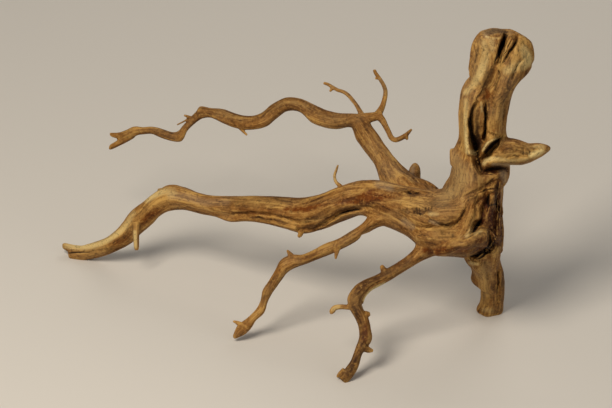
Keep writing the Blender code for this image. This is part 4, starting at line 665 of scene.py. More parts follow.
        [(-18.4, 207, 1.1, 0.3), (-20.2, 199, 1.7, 0.4), (-20.2, 189, 2.4, 0.45), (-18.4, 179, 3, 0.5),
         (-15.6, 170, 3.4, 0.55), (-14, 165, 2.6, 0.5)],
        [(-5.6, 210, 1, 0.4), (-5.8, 200, 1.2, 0.5), (-5.6, 189, 1.4, 0.5), (-5.8, 178, 1.5, 0.5)],
        [(-5, 144.5, 1.4, 0.5), (2, 146.2, 1.8, 0.7), (13, 146.4, 1.6, 0.5)],
        [(4, 70, 1.4, 0.6), (-9, 58, 1.4, 0.7)],
        [(-76.6, 106, 0.9, 0.5), (-76.4, 101, 0.9, 0.6)],
        [(-73.8, 107, 0.9, 0.6), (-73.4, 100.5, 0.9, 0.7)],
        [(-71, 106.6, 0.9, 0.6), (-70.4, 100, 0.9, 0.7)],
        [(-64.6, 107.4, 0.8, 0.7), (-64.6, 104, 0.8, 0.6)],
        [(-61.7, 107.6, 0.8, 0.6), (-61.9, 105, 0.8, 0.5)],
        [(-58.6, 107.8, 0.8, 0.5), (-59, 105.4, 0.8, 0.4)],
        [(-423, 61.5, 0.9, 0.8), (-414, 62.4, 1, 0.8), (-402, 62.6, 0.8, 0.5)],
        [(-3, 281.4, 3.6, 0.4), (5, 282.4, 4, 0.4), (13, 280.8, 3.4, 0.4)],
        [(-15.5, 187, 2.6, 0.25), (-14.5, 177, 4.5, 0.55), (-13, 168, 5, 0.75), (-13, 164, 3.6, 0.6)],
    ],
    "crumbled": [
        [(-20, 161, 4, 0.5), (-16, 157, 5, 0.8), (-13, 153, 5, 0.9), (-10, 147, 4, 0.7)],
        [(-3, 183, 4, 0.5), (4, 181, 4, 0.7), (13, 179, 4, 0.6), (18, 176, 3, 0.5)],
        [(-39, 163, 4, 0.6), (-34, 162, 4, 0.4)],
        [(-22, 163, 4, 0.35), (-14, 163, 3, 0.4)],
        [(6, 71, 6, 0.35), (0, 59, 7, 0.3)],
        [(-8, 6, 7, 0.5), (8, 6, 7, 0.5)],
        [(-126, -25, 5, 0.6), (-122, -32, 5, 0.6)],
        [(-150, -61, 5, 0.4), (-142, -67, 4, 0.4)],
        [(-6, 155, 3, 0.3), (-6, 149, 3, 0.4)],
        [(-4, 117, 6, 0.2), (2, 105, 6, 0.2)],
        [(-8, 165, 4, 0.6), (-2, 172, 4, 0.7), (6, 176, 4, 0.6)],
        [(-4, 155, 5, 0.45), (8, 159, 8, 0.4), (26, 161, 8, 0.45), (44, 161, 7, 0.4)],
        [(-16, 79, 5, 0.25), (-6, 79, 5, 0.3)],
        [(-14, 79, 5, 0.3), (-6, 80, 5, 0.35), (-4, 74, 4, 0.35)],
    ],
    "split": [
        [(-185, 95, 8, 0.36), (-165, 101, 9, 0.48), (-145, 108, 10, 0.48), (-128, 112, 8, 0.3)],
        [(2, 115, 9, 0.21), (6, 99, 8, 0.21), (8, 81, 7, 0.21)],
        [(8, 255, 6, 0.36), (15, 263, 5, 0.3)],
        [(8, 45, 7, 0.36), (9, 20, 7, 0.36)],
        [(-110, 43, 8, 0.18), (-128, 31, 7, 0.18)],
        [(-410, 62, 7, 0.18), (-386, 67, 7, 0.18)],
    ],
}
exactMarks = ("ashAndHighlight", "pale", "cleftShadeAndStains")     # these follow the carving; the others stray a little

# Nothing drawn looks ruled, because it strays: the swing's length and reach in mm, and two seeds
stray = {"carving": (9.0, 0.6, (1, 2)), "fineLines": (5.0, 0.3, (3, 4)), "marks": (14.0, 0.9, (6, 7))}

# How the fine lines are cut
cutting = {
    "mean": 0.85, "uneven": 0.35,       # share of the drawn depth, and how much it comes and goes
    "unevenSize": 6.0, "unevenSeed": 5,
    "lineWalls": 1.0, "ridgeWalls": 1.2,      # power of a line's section: higher is sharper
    "ringDepth": 1.1, "ringWidth": 0.8,       # mm, the ring round a knot
    "heartDepth": 1.3, "heartWidth": 1.1,     # and its middle
    "fade": 2.5,                        # marks fade where the wood turns away: higher is sooner
}


def boardTurn(across, up, out):
    # A direction on the board, in millimetres, as a direction of the part, in metres
    lean = math.radians(stump["boardLean"])
    return np.stack([
        across,
        up * np.sin(lean) - out * np.cos(lean),
        up * np.cos(lean) + out * np.sin(lean),
    ], axis=-1) * mm


def boardPlace(across, up, out):
    return boardTurn(across, up, out) - np.array([0.0, stump["footBack"] * mm, 0.0])


def readBoard(places):
    # Across and up of each place, in millimetres: boardPlace() undone
    lean = math.radians(stump["boardLean"])
    across, forward, height = (np.asarray(places) / mm).T
    forward = forward + stump["footBack"]
    return across, forward * math.sin(lean) + height * math.cos(lean)


def smoothPath(rows, step):
    # A Catmull-Rom curve through rows whose first three numbers are a place
    rows = np.asarray(rows, dtype=float)
    padded = np.vstack([2 * rows[0] - rows[1], rows, 2 * rows[-1] - rows[-2]])
    found = []
    for before, start, end, after in zip(padded, padded[1:], padded[2:], padded[3:]):
        count = max(1, int(np.ceil(np.linalg.norm((end - start)[:3]) / step)))
        for t in np.arange(count) / count:
            found.append(0.5 * (2 * start + (end - before) * t
                                + (2 * before - 5 * start + 4 * end - after) * t ** 2
                                + (3 * start - before - 3 * end + after) * t ** 3))
    found.append(rows[-1])
    return np.array(found)


def unit(vectors):
    return vectors / np.maximum(np.linalg.norm(vectors, axis=-1, keepdims=True), 1e-12)


def limbPath(stations):
    # Middles of a limb's rings with its two half axes, in metres
    rows = np.asarray(stations, dtype=float)
    edges = np.column_stack([(rows[:, 0] + rows[:, 2]) / 2, (rows[:, 1] + rows[:, 3]) / 2, rows[:, 4],
                             (rows[:, 0] - rows[:, 2]) / 2, (rows[:, 1] - rows[:, 3]) / 2, rows[:, 5] / 2])
    path = smoothPath(edges, stump["ringStep"])
    middles = boardPlace(path[:, 0], path[:, 1], path[:, 2])
    halfWidth = np.hypot(path[:, 3], path[:, 4])[:, None]
    wide = boardTurn(path[:, 3], path[:, 4], np.zeros(len(path))) * (1 + stump["bark"] / halfWidth)
    thick = unit(np.cross(np.gradient(middles, axis=0), wide)) * (path[:, 5:6] + stump["bark"]) * mm
    return middles, wide, thick


def twigPath(points):
    path = smoothPath(points, stump["twigStep"])
    middles = boardPlace(path[:, 0], path[:, 1], path[:, 2])
    along = np.gradient(middles, axis=0)
    wide = unit(np.cross(along, boardTurn(0.0, 0.0, 1.0)))
    thick = unit(np.cross(along, wide))
    radius = path[:, 3:4] / 2 * mm
    return middles, wide * radius, thick * radius


def tube(path, sides, flute=None):
    # One closed tube round a path
    middles, wide, thick = path
    angles = np.arange(sides) * 2 * np.pi / sides
    rings = []
    for number, middle in enumerate(middles):
        ring = np.outer(np.cos(angles), wide[number]) + np.outer(np.sin(angles), thick[number])
        if flute is not None:
            count, depth, turn = flute
            phase = math.radians(turn) * number / len(middles)
            ring = ring * (1 + depth * np.sin(angles) ** 2 * np.cos(count * angles + phase))[:, None]
        rings.append(middle + ring)
    points = np.vstack(rings + [middles[:1], middles[-1:]])
    firstPole, lastPole, lastRing = len(points) - 2, len(points) - 1, (len(middles) - 1) * sides
    faces = []
    for side in range(sides):
        beside = (side + 1) % sides
        for ring in range(len(middles) - 1):
            here, there = ring * sides + side, ring * sides + beside
            faces.append((here, there, there + sides, here + sides))
        faces.append((firstPole, beside, side))
        faces.append((lastPole, lastRing + side, lastRing + beside))
    return points, faces


def meshOf(name, shapes):
    points, faces = [], []
    for shapePoints, shapeFaces in shapes:
        faces += [tuple(len(points) + index for index in face) for face in shapeFaces]
        points += [tuple(point) for point in shapePoints]
    mesh = bpy.data.meshes.new(name)
    mesh.from_pydata(points, [], faces)
    made = bpy.data.objects.new(name, mesh)
    bpy.context.scene.collection.objects.link(made)
    return made


def addModifier(target, name, kind, settings):
    modifier = target.modifiers.new(name, kind)
    for setting, value in settings.items():
        setattr(modifier, setting, value)


def bake(target):
    # The modifiers' result becomes the object's mesh
    graph = bpy.context.evaluated_depsgraph_get()
    baked = bpy.data.meshes.new_from_object(target.evaluated_get(graph))
    target.modifiers.clear()
    old, target.data = target.data, baked
    bpy.data.meshes.remove(old)


def blendSkin(target, voxel, rounds):
    # Everything in the mesh becomes one skin, smoothed a little
    addModifier(target, "blend", "REMESH", {"mode": "VOXEL", "voxel_size": voxel * mm})
    if rounds:
        addModifier(target, "soften", "SMOOTH", {"factor": 0.5, "iterations": rounds})
    bake(target)


def readMesh(mesh):
    count = len(mesh.vertices)
    places, normals = np.empty(count * 3), np.empty(count * 3)
    mesh.vertices.foreach_get("co", places)
    mesh.vertices.foreach_get("normal", normals)
    return places.reshape(-1, 3), normals.reshape(-1, 3)


def movePoints(mesh, places):
    mesh.vertices.foreach_set("co", places.ravel())
    mesh.update()


def wander(places, size, seed):
    # A smooth random number from about -1 to 1 at each place, the same every run
    waves = 10
    draw = np.random.default_rng(seed)
    total = np.zeros(len(places))
    for _ in range(waves):
        wave = unit(draw.normal(size=3)) * 2 * np.pi / (size * draw.uniform(0.7, 1.6))
        total += np.sin(places @ wave + draw.uniform(0, 2 * np.pi))
    return total / 3.2


def strayed(places, kind):
    # Across and up of each place, moved as far as this kind of drawing strays
    size, far, seeds = stray[kind]
    across, up = readBoard(places)
    aside, above = (wander(places / mm, size, seed) * far for seed in seeds)
    return across + aside, up + above


def lineDepth(first, second, lines, power=None, oneSided=False):
    # The deepest of the drawn lines at each place: shallow ones rounded, deep ones with steep walls.
    # A one-sided line is a ledge, low on the left as one goes along it.
    deepest = np.zeros(len(first))
    for line in lines:
        rows = smoothPath(line, stump["grooveStep"])
        low, high = rows[:, :2].min(0) - rows[:, 2].max(), rows[:, :2].max(0) + rows[:, 2].max()
        near = np.nonzero((first > low[0]) & (first < high[0]) & (second > low[1]) & (second < high[1]))[0]
        x, y = first[near], second[near]
        nearest, half = np.full(len(near), np.inf), np.ones(len(near))
        depth, side = np.zeros(len(near)), np.zeros(len(near))
        for start, end in zip(rows, rows[1:]):
            run = end[:2] - start[:2]
            ahead = (x - start[0]) * run[0] + (y - start[1]) * run[1]
            share = np.clip(ahead / max(run @ run, 1e-9), 0, 1)
            away = np.hypot(x - start[0] - share * run[0], y - start[1] - share * run[1])
            closer = away < nearest
            nearest = np.where(closer, away, nearest)
            half = np.where(closer, start[2] + share * (end[2] - start[2]), half)
            depth = np.where(closer, start[3] + share * (end[3] - start[3]), depth)
            side = np.where(closer, run[0] * (y - start[1]) - run[1] * (x - start[0]), side)
        walls = np.clip(1.8 - 0.3 * depth / half, 0.75, 1.5) if power is None else power
        found = depth * np.clip(1 - (nearest / half) ** 2, 0, 1) ** walls
        if oneSided:
            found = np.where(side > 0, found, 0)
        deepest[near] = np.maximum(deepest[near], found)
    return deepest


def carve(places, normals, towards, drawing, lines, sense, oneSided=False):
    # Pushes the side that faces a direction: in for sense 1, out for sense -1
    facing = np.clip(normals @ towards / stump["fullPress"], 0, 1)
    depth = lineDepth(*drawing, lines, oneSided=oneSided)
    return places - (facing * depth * sense * mm)[:, None] * towards


def levelTop(mesh):
    # The trunk ends in a level face, and nothing stands outside the solid's box
    places, _ = readMesh(mesh)
    over = (places[:, 2] > stump["topLevel"] * mm) & (places[:, 0] < stump["topEdge"] * mm)
    places[over, 2] = stump["topLevel"] * mm
    low = np.array(cadBox[0]) + stump["inside"] * mm
    high = np.array(cadBox[1]) - stump["inside"] * mm
    low[2] = -np.inf
    movePoints(mesh, np.clip(places, low, high))


def carveAllSides(mesh):
    places, normals = readMesh(mesh)
    boardOut = boardTurn(0.0, 0.0, 1.0) / mm
    right = np.array([1.0, 0.0, 0.0])
    drawn = strayed(places, "carving")
    sideways = places[:, 1] / mm, places[:, 2] / mm
    places = carve(places, normals, boardOut, drawn, frontRidges, -1)
    places = carve(places, normals, boardOut, drawn, frontLedges, 1, True)
    places = carve(places, normals, boardOut, drawn, frontGrooves, 1)
    places = carve(places, normals, -boardOut, drawn, backGrooves, 1)
    places = carve(places, normals, right, sideways, rightGrooves, 1)
    places = carve(places, normals, -right, sideways, leftGrooves, 1)
    movePoints(mesh, places)
    levelTop(mesh)


def cutFineLines(mesh):
    # The thin splits, ridges and knots of the side that faces out
    places, normals = readMesh(mesh)
    across, up = strayed(places, "fineLines")
    uneven = wander(places / mm, cutting["unevenSize"], cutting["unevenSeed"])
    cut = lineDepth(across, up, fineLines, cutting["lineWalls"])
    cut = cut * (cutting["mean"] + cutting["uneven"] * uneven)
    raised = lineDepth(across, up, fineRidges, cutting["ridgeWalls"])
    for x, y, radius in knots:
        away = np.hypot(across - x, up - y)
        ring = cutting["ringDepth"] * np.exp(-((away - radius) / cutting["ringWidth"]) ** 2)
        heart = cutting["heartDepth"] * np.exp(-(away / cutting["heartWidth"]) ** 2)
        cut = np.maximum(cut, ring + heart)
    towards = boardTurn(0.0, 0.0, 1.0)
    facing = np.clip(normals @ (towards / mm) / stump["fullPress"], 0, 1)
    movePoints(mesh, places - (facing * (cut - raised))[:, None] * towards)


# The grain follows each limb, so every place on the wood gets how far along the nearest limb it is and how
# far off its axis, in millimetres, for the nearest limb and the one beside it.
grain = {
    "readEvery": 1.0,     # mm between the points where a limb's axis is read
    "blend": 2.5,         # mm over which one limb's grain gives way to the next
    "apart": 500.0,       # mm added along for each limb, so that no two show the same figure
    "bulk": 9.0,          # mm of half thickness above which the relief has its full depth
    "leastBulk": 0.12,    # share of the relief that the thinnest twigs keep
    "atOnce": 20000,      # places measured in one go, to save memory
}


def readAxes(paths):
    # Points along every limb's axis: where, its three directions, half axes and distance along
    axes = []
    for middles, wide, thick in paths:
        middles, wide, thick = middles / mm, wide / mm, thick / mm
        steps = np.linalg.norm(np.diff(middles, axis=0), axis=1)
        along = np.concatenate([[0.0], np.cumsum(steps)])
        at = np.arange(0.0, along[-1] + grain["readEvery"], grain["readEvery"])

        def read(values):
            return np.column_stack([np.interp(at, along, values[:, axis]) for axis in range(3)])

        axes.append({
            "middle": read(middles), "direction": unit(np.gradient(read(middles), axis=0)),
            "wide": unit(read(wide)), "thick": unit(read(thick)),
            "halfWide": np.interp(at, along, np.linalg.norm(wide, axis=1)),
            "halfThick": np.interp(at, along, np.linalg.norm(thick, axis=1)),
            "along": at,
        })
    return axes


def grainOf(places, axes):
    # For every place and limb: the grain coordinates, and how far the place stands off the limb's skin
    points = places / mm
    coordinates = np.zeros((len(points), len(axes), 3), dtype=np.float32)
    standOff = np.zeros((len(points), len(axes)), dtype=np.float32)
    halfThick = np.zeros((len(points), len(axes)), dtype=np.float32)
    for number, axis in enumerate(axes):
        nearest = np.zeros(len(points), dtype=int)
        for start in range(0, len(points), grain["atOnce"]):
            part = slice(start, start + grain["atOnce"])
            squares = (axis["middle"] ** 2).sum(1)[None] - 2 * points[part] @ axis["middle"].T
            nearest[part] = squares.argmin(1)
        offset = points - axis["middle"][nearest]
        ahead = (offset * axis["direction"][nearest]).sum(1)
        sideways = (offset * axis["wide"][nearest]).sum(1)
        outwards = (offset * axis["thick"][nearest]).sum(1)
        radial = np.hypot(sideways / axis["halfWide"][nearest], outwards / axis["halfThick"][nearest])
        length = np.linalg.norm(offset, axis=1)
        coordinates[:, number, 0] = axis["along"][nearest] + ahead + number * grain["apart"]
        coordinates[:, number, 1] = sideways
        coordinates[:, number, 2] = outwards
        past = np.abs(ahead) > 1.5 * grain["readEvery"]       # beyond either end of the limb
        radial = np.where(past, np.maximum(radial, length / axis["halfWide"][nearest]), radial)
        standOff[:, number] = length * (1 - 1 / np.maximum(radial, 0.2))
        halfThick[:, number] = np.minimum(axis["halfWide"], axis["halfThick"])[nearest]
    return coordinates, standOff, halfThick


def pickTwo(standOff):
    # The two limbs whose skin is nearest, and the second one's share
    order = np.argpartition(standOff, 1, axis=1)[:, :2]
    first = np.take_along_axis(standOff, order, 1)
    swap = first[:, 0] > first[:, 1]
    order[swap] = order[swap][:, ::-1]
    gap = np.take_along_axis(standOff, order, 1)
    share = 1 / (1 + np.exp(np.clip((gap[:, 1] - gap[:, 0]) / grain["blend"], 0, 30)))
    return order[:, 0], order[:, 1], share


def setAttribute(mesh, name, kind, domain, values):
    old = mesh.attributes.get(name)
    if old is not None:
        mesh.attributes.remove(old)
    made = mesh.attributes.new(name, kind, domain)
    field = "vector" if kind == "FLOAT_VECTOR" else "value"
    made.data.foreach_set(field, np.ascontiguousarray(values, dtype=np.float32).ravel())


def markSurface(mesh):
    # The marks, as attributes of the surface; they fade away from the side that faces out
    places, normals = readMesh(mesh)
    facing = np.clip(normals @ (boardTurn(0.0, 0.0, 1.0) / mm) * cutting["fade"] + 1.0, 0, 1)
    loose = strayed(places, "marks")
    for name, lines in marks.items():
        drawing = readBoard(places) if name in exactMarks else loose
        setAttribute(mesh, name, "FLOAT", "POINT", lineDepth(*drawing, lines, 1.0) * facing)
    # The fine lines' depth, which darkens them as painted shade
    drawn = lineDepth(*strayed(places, "fineLines"), fineLines, cutting["lineWalls"])
    setAttribute(mesh, "drawn", "FLOAT", "POINT", drawn * facing)


def addNode(tree, kind, settings=None, inputs=None):
    # A node with its settings, and its inputs by name or number: a socket is linked, a value is set
    node = tree.nodes.new(kind)
    for setting, value in (settings or {}).items():
        setattr(node, setting, value)
    for key, value in (inputs or {}).items():
        if isinstance(value, bpy.types.NodeSocket):
            tree.links.new(value, node.inputs[key])
        else:
            node.inputs[key].default_value = value
    return node


def mathsFor(tree):
    def maths(operation, first, second=0.0, third=0.0):
        values = {0: first, 1: second, 2: third}
        return addNode(tree, "ShaderNodeMath", {"operation": operation}, values).outputs[0]
    return maths


def mixFloats(tree, share, first, second):
    inputs = {0: share, 2: first, 3: second}
    return addNode(tree, "ShaderNodeMix", {"data_type": "FLOAT"}, inputs).outputs[0]


def band(tree, value, low, high, bottom=0.0, top=1.0):
    # From bottom to top, smoothly, as the value goes from low to high
    return addNode(tree, "ShaderNodeMapRange", {"interpolation_type": "SMOOTHSTEP"}, {
        "Value": value, "From Min": low, "From Max": high, "To Min": bottom, "To Max": top}).outputs[0]


relief = {
    "Lump Size": 12.0,        # mm, slow swellings of the worn surface
    "Lump Depth": 0.5,
    "Flute Pitch": 6.0,       # mm from one worn flute to the next
    "Flute Depth": 0.2,
    "Grain Pitch": 2.2,       # mm, coarser than real fibres so that it shows
    "Grain Depth": 0.12,
    "Crack Pitch": 5.5,
    "Crack Depth": 0.8,
    "Crumb Size": 3.2,        # mm, torn and rotten wood
    "Crumb Depth": 2.2,
    "Seed": 4.0,
}


def reliefTree():
    # Worn flutes, raised grain, drying cracks and crumbled wood, pushed along the normals
    tree = bpy.data.node_groups.new("carve grain", "GeometryNodeTree")
    tree.interface.new_socket("Geometry", in_out="INPUT", socket_type="NodeSocketGeometry")
    for name in relief:
        tree.interface.new_socket(name, in_out="INPUT", socket_type="NodeSocketFloat")
    tree.interface.new_socket("Wood", in_out="INPUT", socket_type="NodeSocketMaterial")
    tree.interface.new_socket("Geometry", in_out="OUTPUT", socket_type="NodeSocketGeometry")
    start = tree.nodes.new("NodeGroupInput").outputs
    maths = mathsFor(tree)

    def vectorMaths(operation, inputs):
        return addNode(tree, "ShaderNodeVectorMath", {"operation": operation}, inputs).outputs[0]

    def attribute(name, kind="FLOAT"):
        node = addNode(tree, "GeometryNodeInputNamedAttribute", {"data_type": kind}, {"Name": name})
        return node.outputs[0]

    grainA, grainB = attribute("grainA", "FLOAT_VECTOR"), attribute("grainB", "FLOAT_VECTOR")
    share, split = attribute("grainShare"), attribute("split")

    def along(pitch, stretch, detail, shift):
        # Noise drawn out along the grain of both limbs
        values = []
        for coordinates in (grainA, grainB):
            drawnOut = vectorMaths("MULTIPLY", {0: coordinates, 1: (1 / stretch, 1, 1)})
            scaled = vectorMaths("SCALE", {0: drawnOut, "Scale": maths("DIVIDE", 1.0, pitch)})
            seed = addNode(tree, "ShaderNodeCombineXYZ", inputs={
                0: start["Seed"], 1: shift, 2: start["Seed"]})
            moved = vectorMaths("ADD", {0: scaled, 1: seed.outputs[0]})
            values.append(addNode(tree, "ShaderNodeTexNoise", inputs={
                "Vector": moved, "Scale": 1.0, "Detail": detail, "Roughness": 0.55}).outputs[0])
        return mixFloats(tree, share, *values)

    def swing(value, depth):
        return maths("MULTIPLY", maths("MULTIPLY_ADD", value, 2.0, -1.0), depth)

    def lumps(size, inputs):
        position = addNode(tree, "GeometryNodeInputPosition").outputs[0]
        sized = vectorMaths("SCALE", {0: position, "Scale": maths("DIVIDE", 1 / mm, size)})
        return addNode(tree, "ShaderNodeTexNoise", inputs={
            "Vector": sized, "Scale": 1.0, **inputs}).outputs[0]

    flute = swing(along(start["Flute Pitch"], 10.0, 1.0, 3.1), start["Flute Depth"])
    fibre = swing(along(start["Grain Pitch"], 16.0, 2.0, 7.7), start["Grain Depth"])

    # Cracks open where a drawn-out noise crosses its middle, in some stretches only
    crossing = maths("ABSOLUTE", maths("SUBTRACT", along(start["Crack Pitch"], 14.0, 1.0, 12.9), 0.5))
    line = band(tree, crossing, 0.0, 0.035, 1.0, 0.0)
    stretch = maths("MULTIPLY_ADD", split, 0.3, along(22.0, 3.0, 1.0, 17.3))
    depth = maths("MULTIPLY", maths("MULTIPLY_ADD", split, 1.2, 0.6), start["Crack Depth"])
    crack = maths("MULTIPLY", maths("MULTIPLY", line, band(tree, stretch, 0.64, 0.74)), depth)

    crumbNoise = lumps(start["Crumb Size"], {"Detail": 3.0, "Roughness": 0.6})
    crumb = maths("MULTIPLY", swing(crumbNoise, start["Crumb Depth"]), attribute("crumbled"))
    lump = swing(lumps(start["Lump Size"], {"Detail": 1.0}), start["Lump Depth"])

    height = maths("SUBTRACT", maths("ADD", maths("ADD", maths("ADD", flute, lump), fibre), crumb), crack)
    metres = maths("MULTIPLY", maths("MULTIPLY", height, attribute("bulk")), mm)
    normal = addNode(tree, "GeometryNodeInputNormal").outputs[0]
    push = vectorMaths("SCALE", {0: normal, "Scale": metres})
    moved = addNode(tree, "GeometryNodeSetPosition", inputs={"Geometry": start["Geometry"], "Offset": push})
    real = addNode(tree, "GeometryNodeRealizeInstances", inputs={"Geometry": moved.outputs[0]})
    dressed = addNode(tree, "GeometryNodeSetMaterial", inputs={
        "Geometry": real.outputs[0], "Material": start["Wood"]})
    addNode(tree, "NodeGroupOutput", inputs={0: dressed.outputs[0]})
    return tree


def cutFlat(mesh):
    # The foot and two root tips stand flat on the floor
    shape = bmesh.new()
    shape.from_mesh(mesh)
    everything = list(shape.verts) + list(shape.edges) + list(shape.faces)
    bmesh.ops.bisect_plane(
        shape, geom=everything, dist=1e-6, plane_co=(0, 0, 0), plane_no=(0, 0, 1), clear_inner=True)
    rims = [edge for edge in shape.edges if edge.is_boundary]
    bmesh.ops.holes_fill(shape, edges=rims, sides=0)
    bmesh.ops.triangulate(shape, faces=[face for face in shape.faces if len(face.verts) > 3])
    shape.to_mesh(mesh)
    shape.free()


def shadeHollows(mesh):
    # How deep each place lies under its surroundings, in millimetres, near by and further round
    places, normals = readMesh(mesh)
    ends = np.empty(len(mesh.edges) * 2, dtype=np.int64)
    mesh.edges.foreach_get("vertices", ends)
    first, second = ends.reshape(-1, 2).T
    degree = np.maximum(np.bincount(np.concatenate([first, second]), minlength=len(places)), 1)
    even = places.copy()
    wanted = {3: "hollowFine", 40: "hollowBroad"}      # after so many rounds of evening out
    for rounds in range(1, max(wanted) + 1):
        total = np.column_stack([
            np.bincount(first, even[second, axis], len(places))
            + np.bincount(second, even[first, axis], len(places))
            for axis in range(3)])
        even = total / degree[:, None]
        if rounds in wanted:
            depth = ((even - places) * normals).sum(1) / mm
            setAttribute(mesh, wanted[rounds], "FLOAT", "POINT", depth)


def layGrain(mesh, axes):
    # Grain coordinates on every corner of every face, so that one face never mixes two limbs
    places, _ = readMesh(mesh)
    coordinates, standOff, _ = grainOf(places, axes)
    corners = np.empty(len(mesh.loops), dtype=np.int64)
    mesh.loops.foreach_get("vertex_index", corners)
    starts = np.empty(len(mesh.polygons), dtype=np.int64)
    mesh.polygons.foreach_get("loop_start", starts)
    sizes = np.diff(np.append(starts, len(corners)))
    faceOf = np.repeat(np.arange(len(sizes)), sizes)
    middle = np.zeros((len(sizes), standOff.shape[1]), dtype=np.float32)
    for axis in range(standOff.shape[1]):
        middle[:, axis] = np.bincount(faceOf, standOff[corners, axis], len(sizes)) / sizes
    first, second, _ = pickTwo(middle)
    firstCorner, secondCorner = first[faceOf], second[faceOf]
    gap = standOff[corners, secondCorner] - standOff[corners, firstCorner]
    share = 1 / (1 + np.exp(np.clip(gap / grain["blend"], -3, 30)))
    setAttribute(mesh, "grainA", "FLOAT_VECTOR", "CORNER", coordinates[corners, firstCorner])
    setAttribute(mesh, "grainB", "FLOAT_VECTOR", "CORNER", coordinates[corners, secondCorner])
    setAttribute(mesh, "grainShare", "FLOAT", "CORNER", share)


def linear(colour):
    # An sRGB hex colour as the linear numbers that a shader takes
    parts = [int(colour[index:index + 2], 16) / 255 for index in (1, 3, 5)]
    return tuple(part / 12.92 if part <= 0.04045 else ((part + 0.055) / 1.055) ** 2.4
                 for part in parts) + (1.0,)


wood = {
    "pale": "#BB904C", "tan": "#875B27", "brown": "#523110",     # the three tones of the figure
    "greyed": "#9C8460", "golden": "#CFA65C", "orange": "#6A3600", "umber": "#40260F", "rotAndShade": "#4C2208",
    "ashAndHighlight": "#A99A80", "creamAndHighlight": "#E2CB8C",     # where the weather has whitened it and fresh torn edges, with painted highlights on rims and edges
    "deep": "#1C0D05",            # painted shade inside cracks and pits, and the dark specks of the wood
    "under": "#6B411B",           # painted shade on the undersides, which are also browner than what the weather reaches
    "undersideShadeShare": 0.35,
    "figurePitch": 3.2,           # mm
    "finePitch": 1.2,             # mm, real fibres are finer and would not show
    "streakPitch": 8.0,
    "fleckPitch": 2.4,
    "gritSize": 2.6,
    "weatherSize": 32.0,
    "roughLow": 0.56, "roughHigh": 0.84,
    "fibrePitch": 0.8, "fibreBump": 0.6, "fibreDepth": 0.5,
    "ior": 1.5, "specular": 0.2,
    # Marks: how strong each tint is, and how much of it is left in the dark tones of the figure
    "tints": (("golden", 0.75, 0.5), ("orange", 1.5, 0.3), ("umber", 0.9, 0.35), ("rotAndShade", 1.3, 0.1)),
    # Painted shade darkens the hollows, the carved lines and the clefts, and worn edges are paler: from, to,
    # share and colour
    "shadeAndWornEdges": (
        ("hollowFine", 0.12, 0.8, 0.5, "deep"), ("hollowBroad", 1.4, 4.0, 0.8, "deep"),
        ("drawn", 0.6, 3.0, 0.8, "deep"), ("cleftShadeAndStains", 0.0, 0.8, 0.95, "deep"),
        ("hollowFine", -0.15, -0.6, 0.5, "pale"),
    ),
}


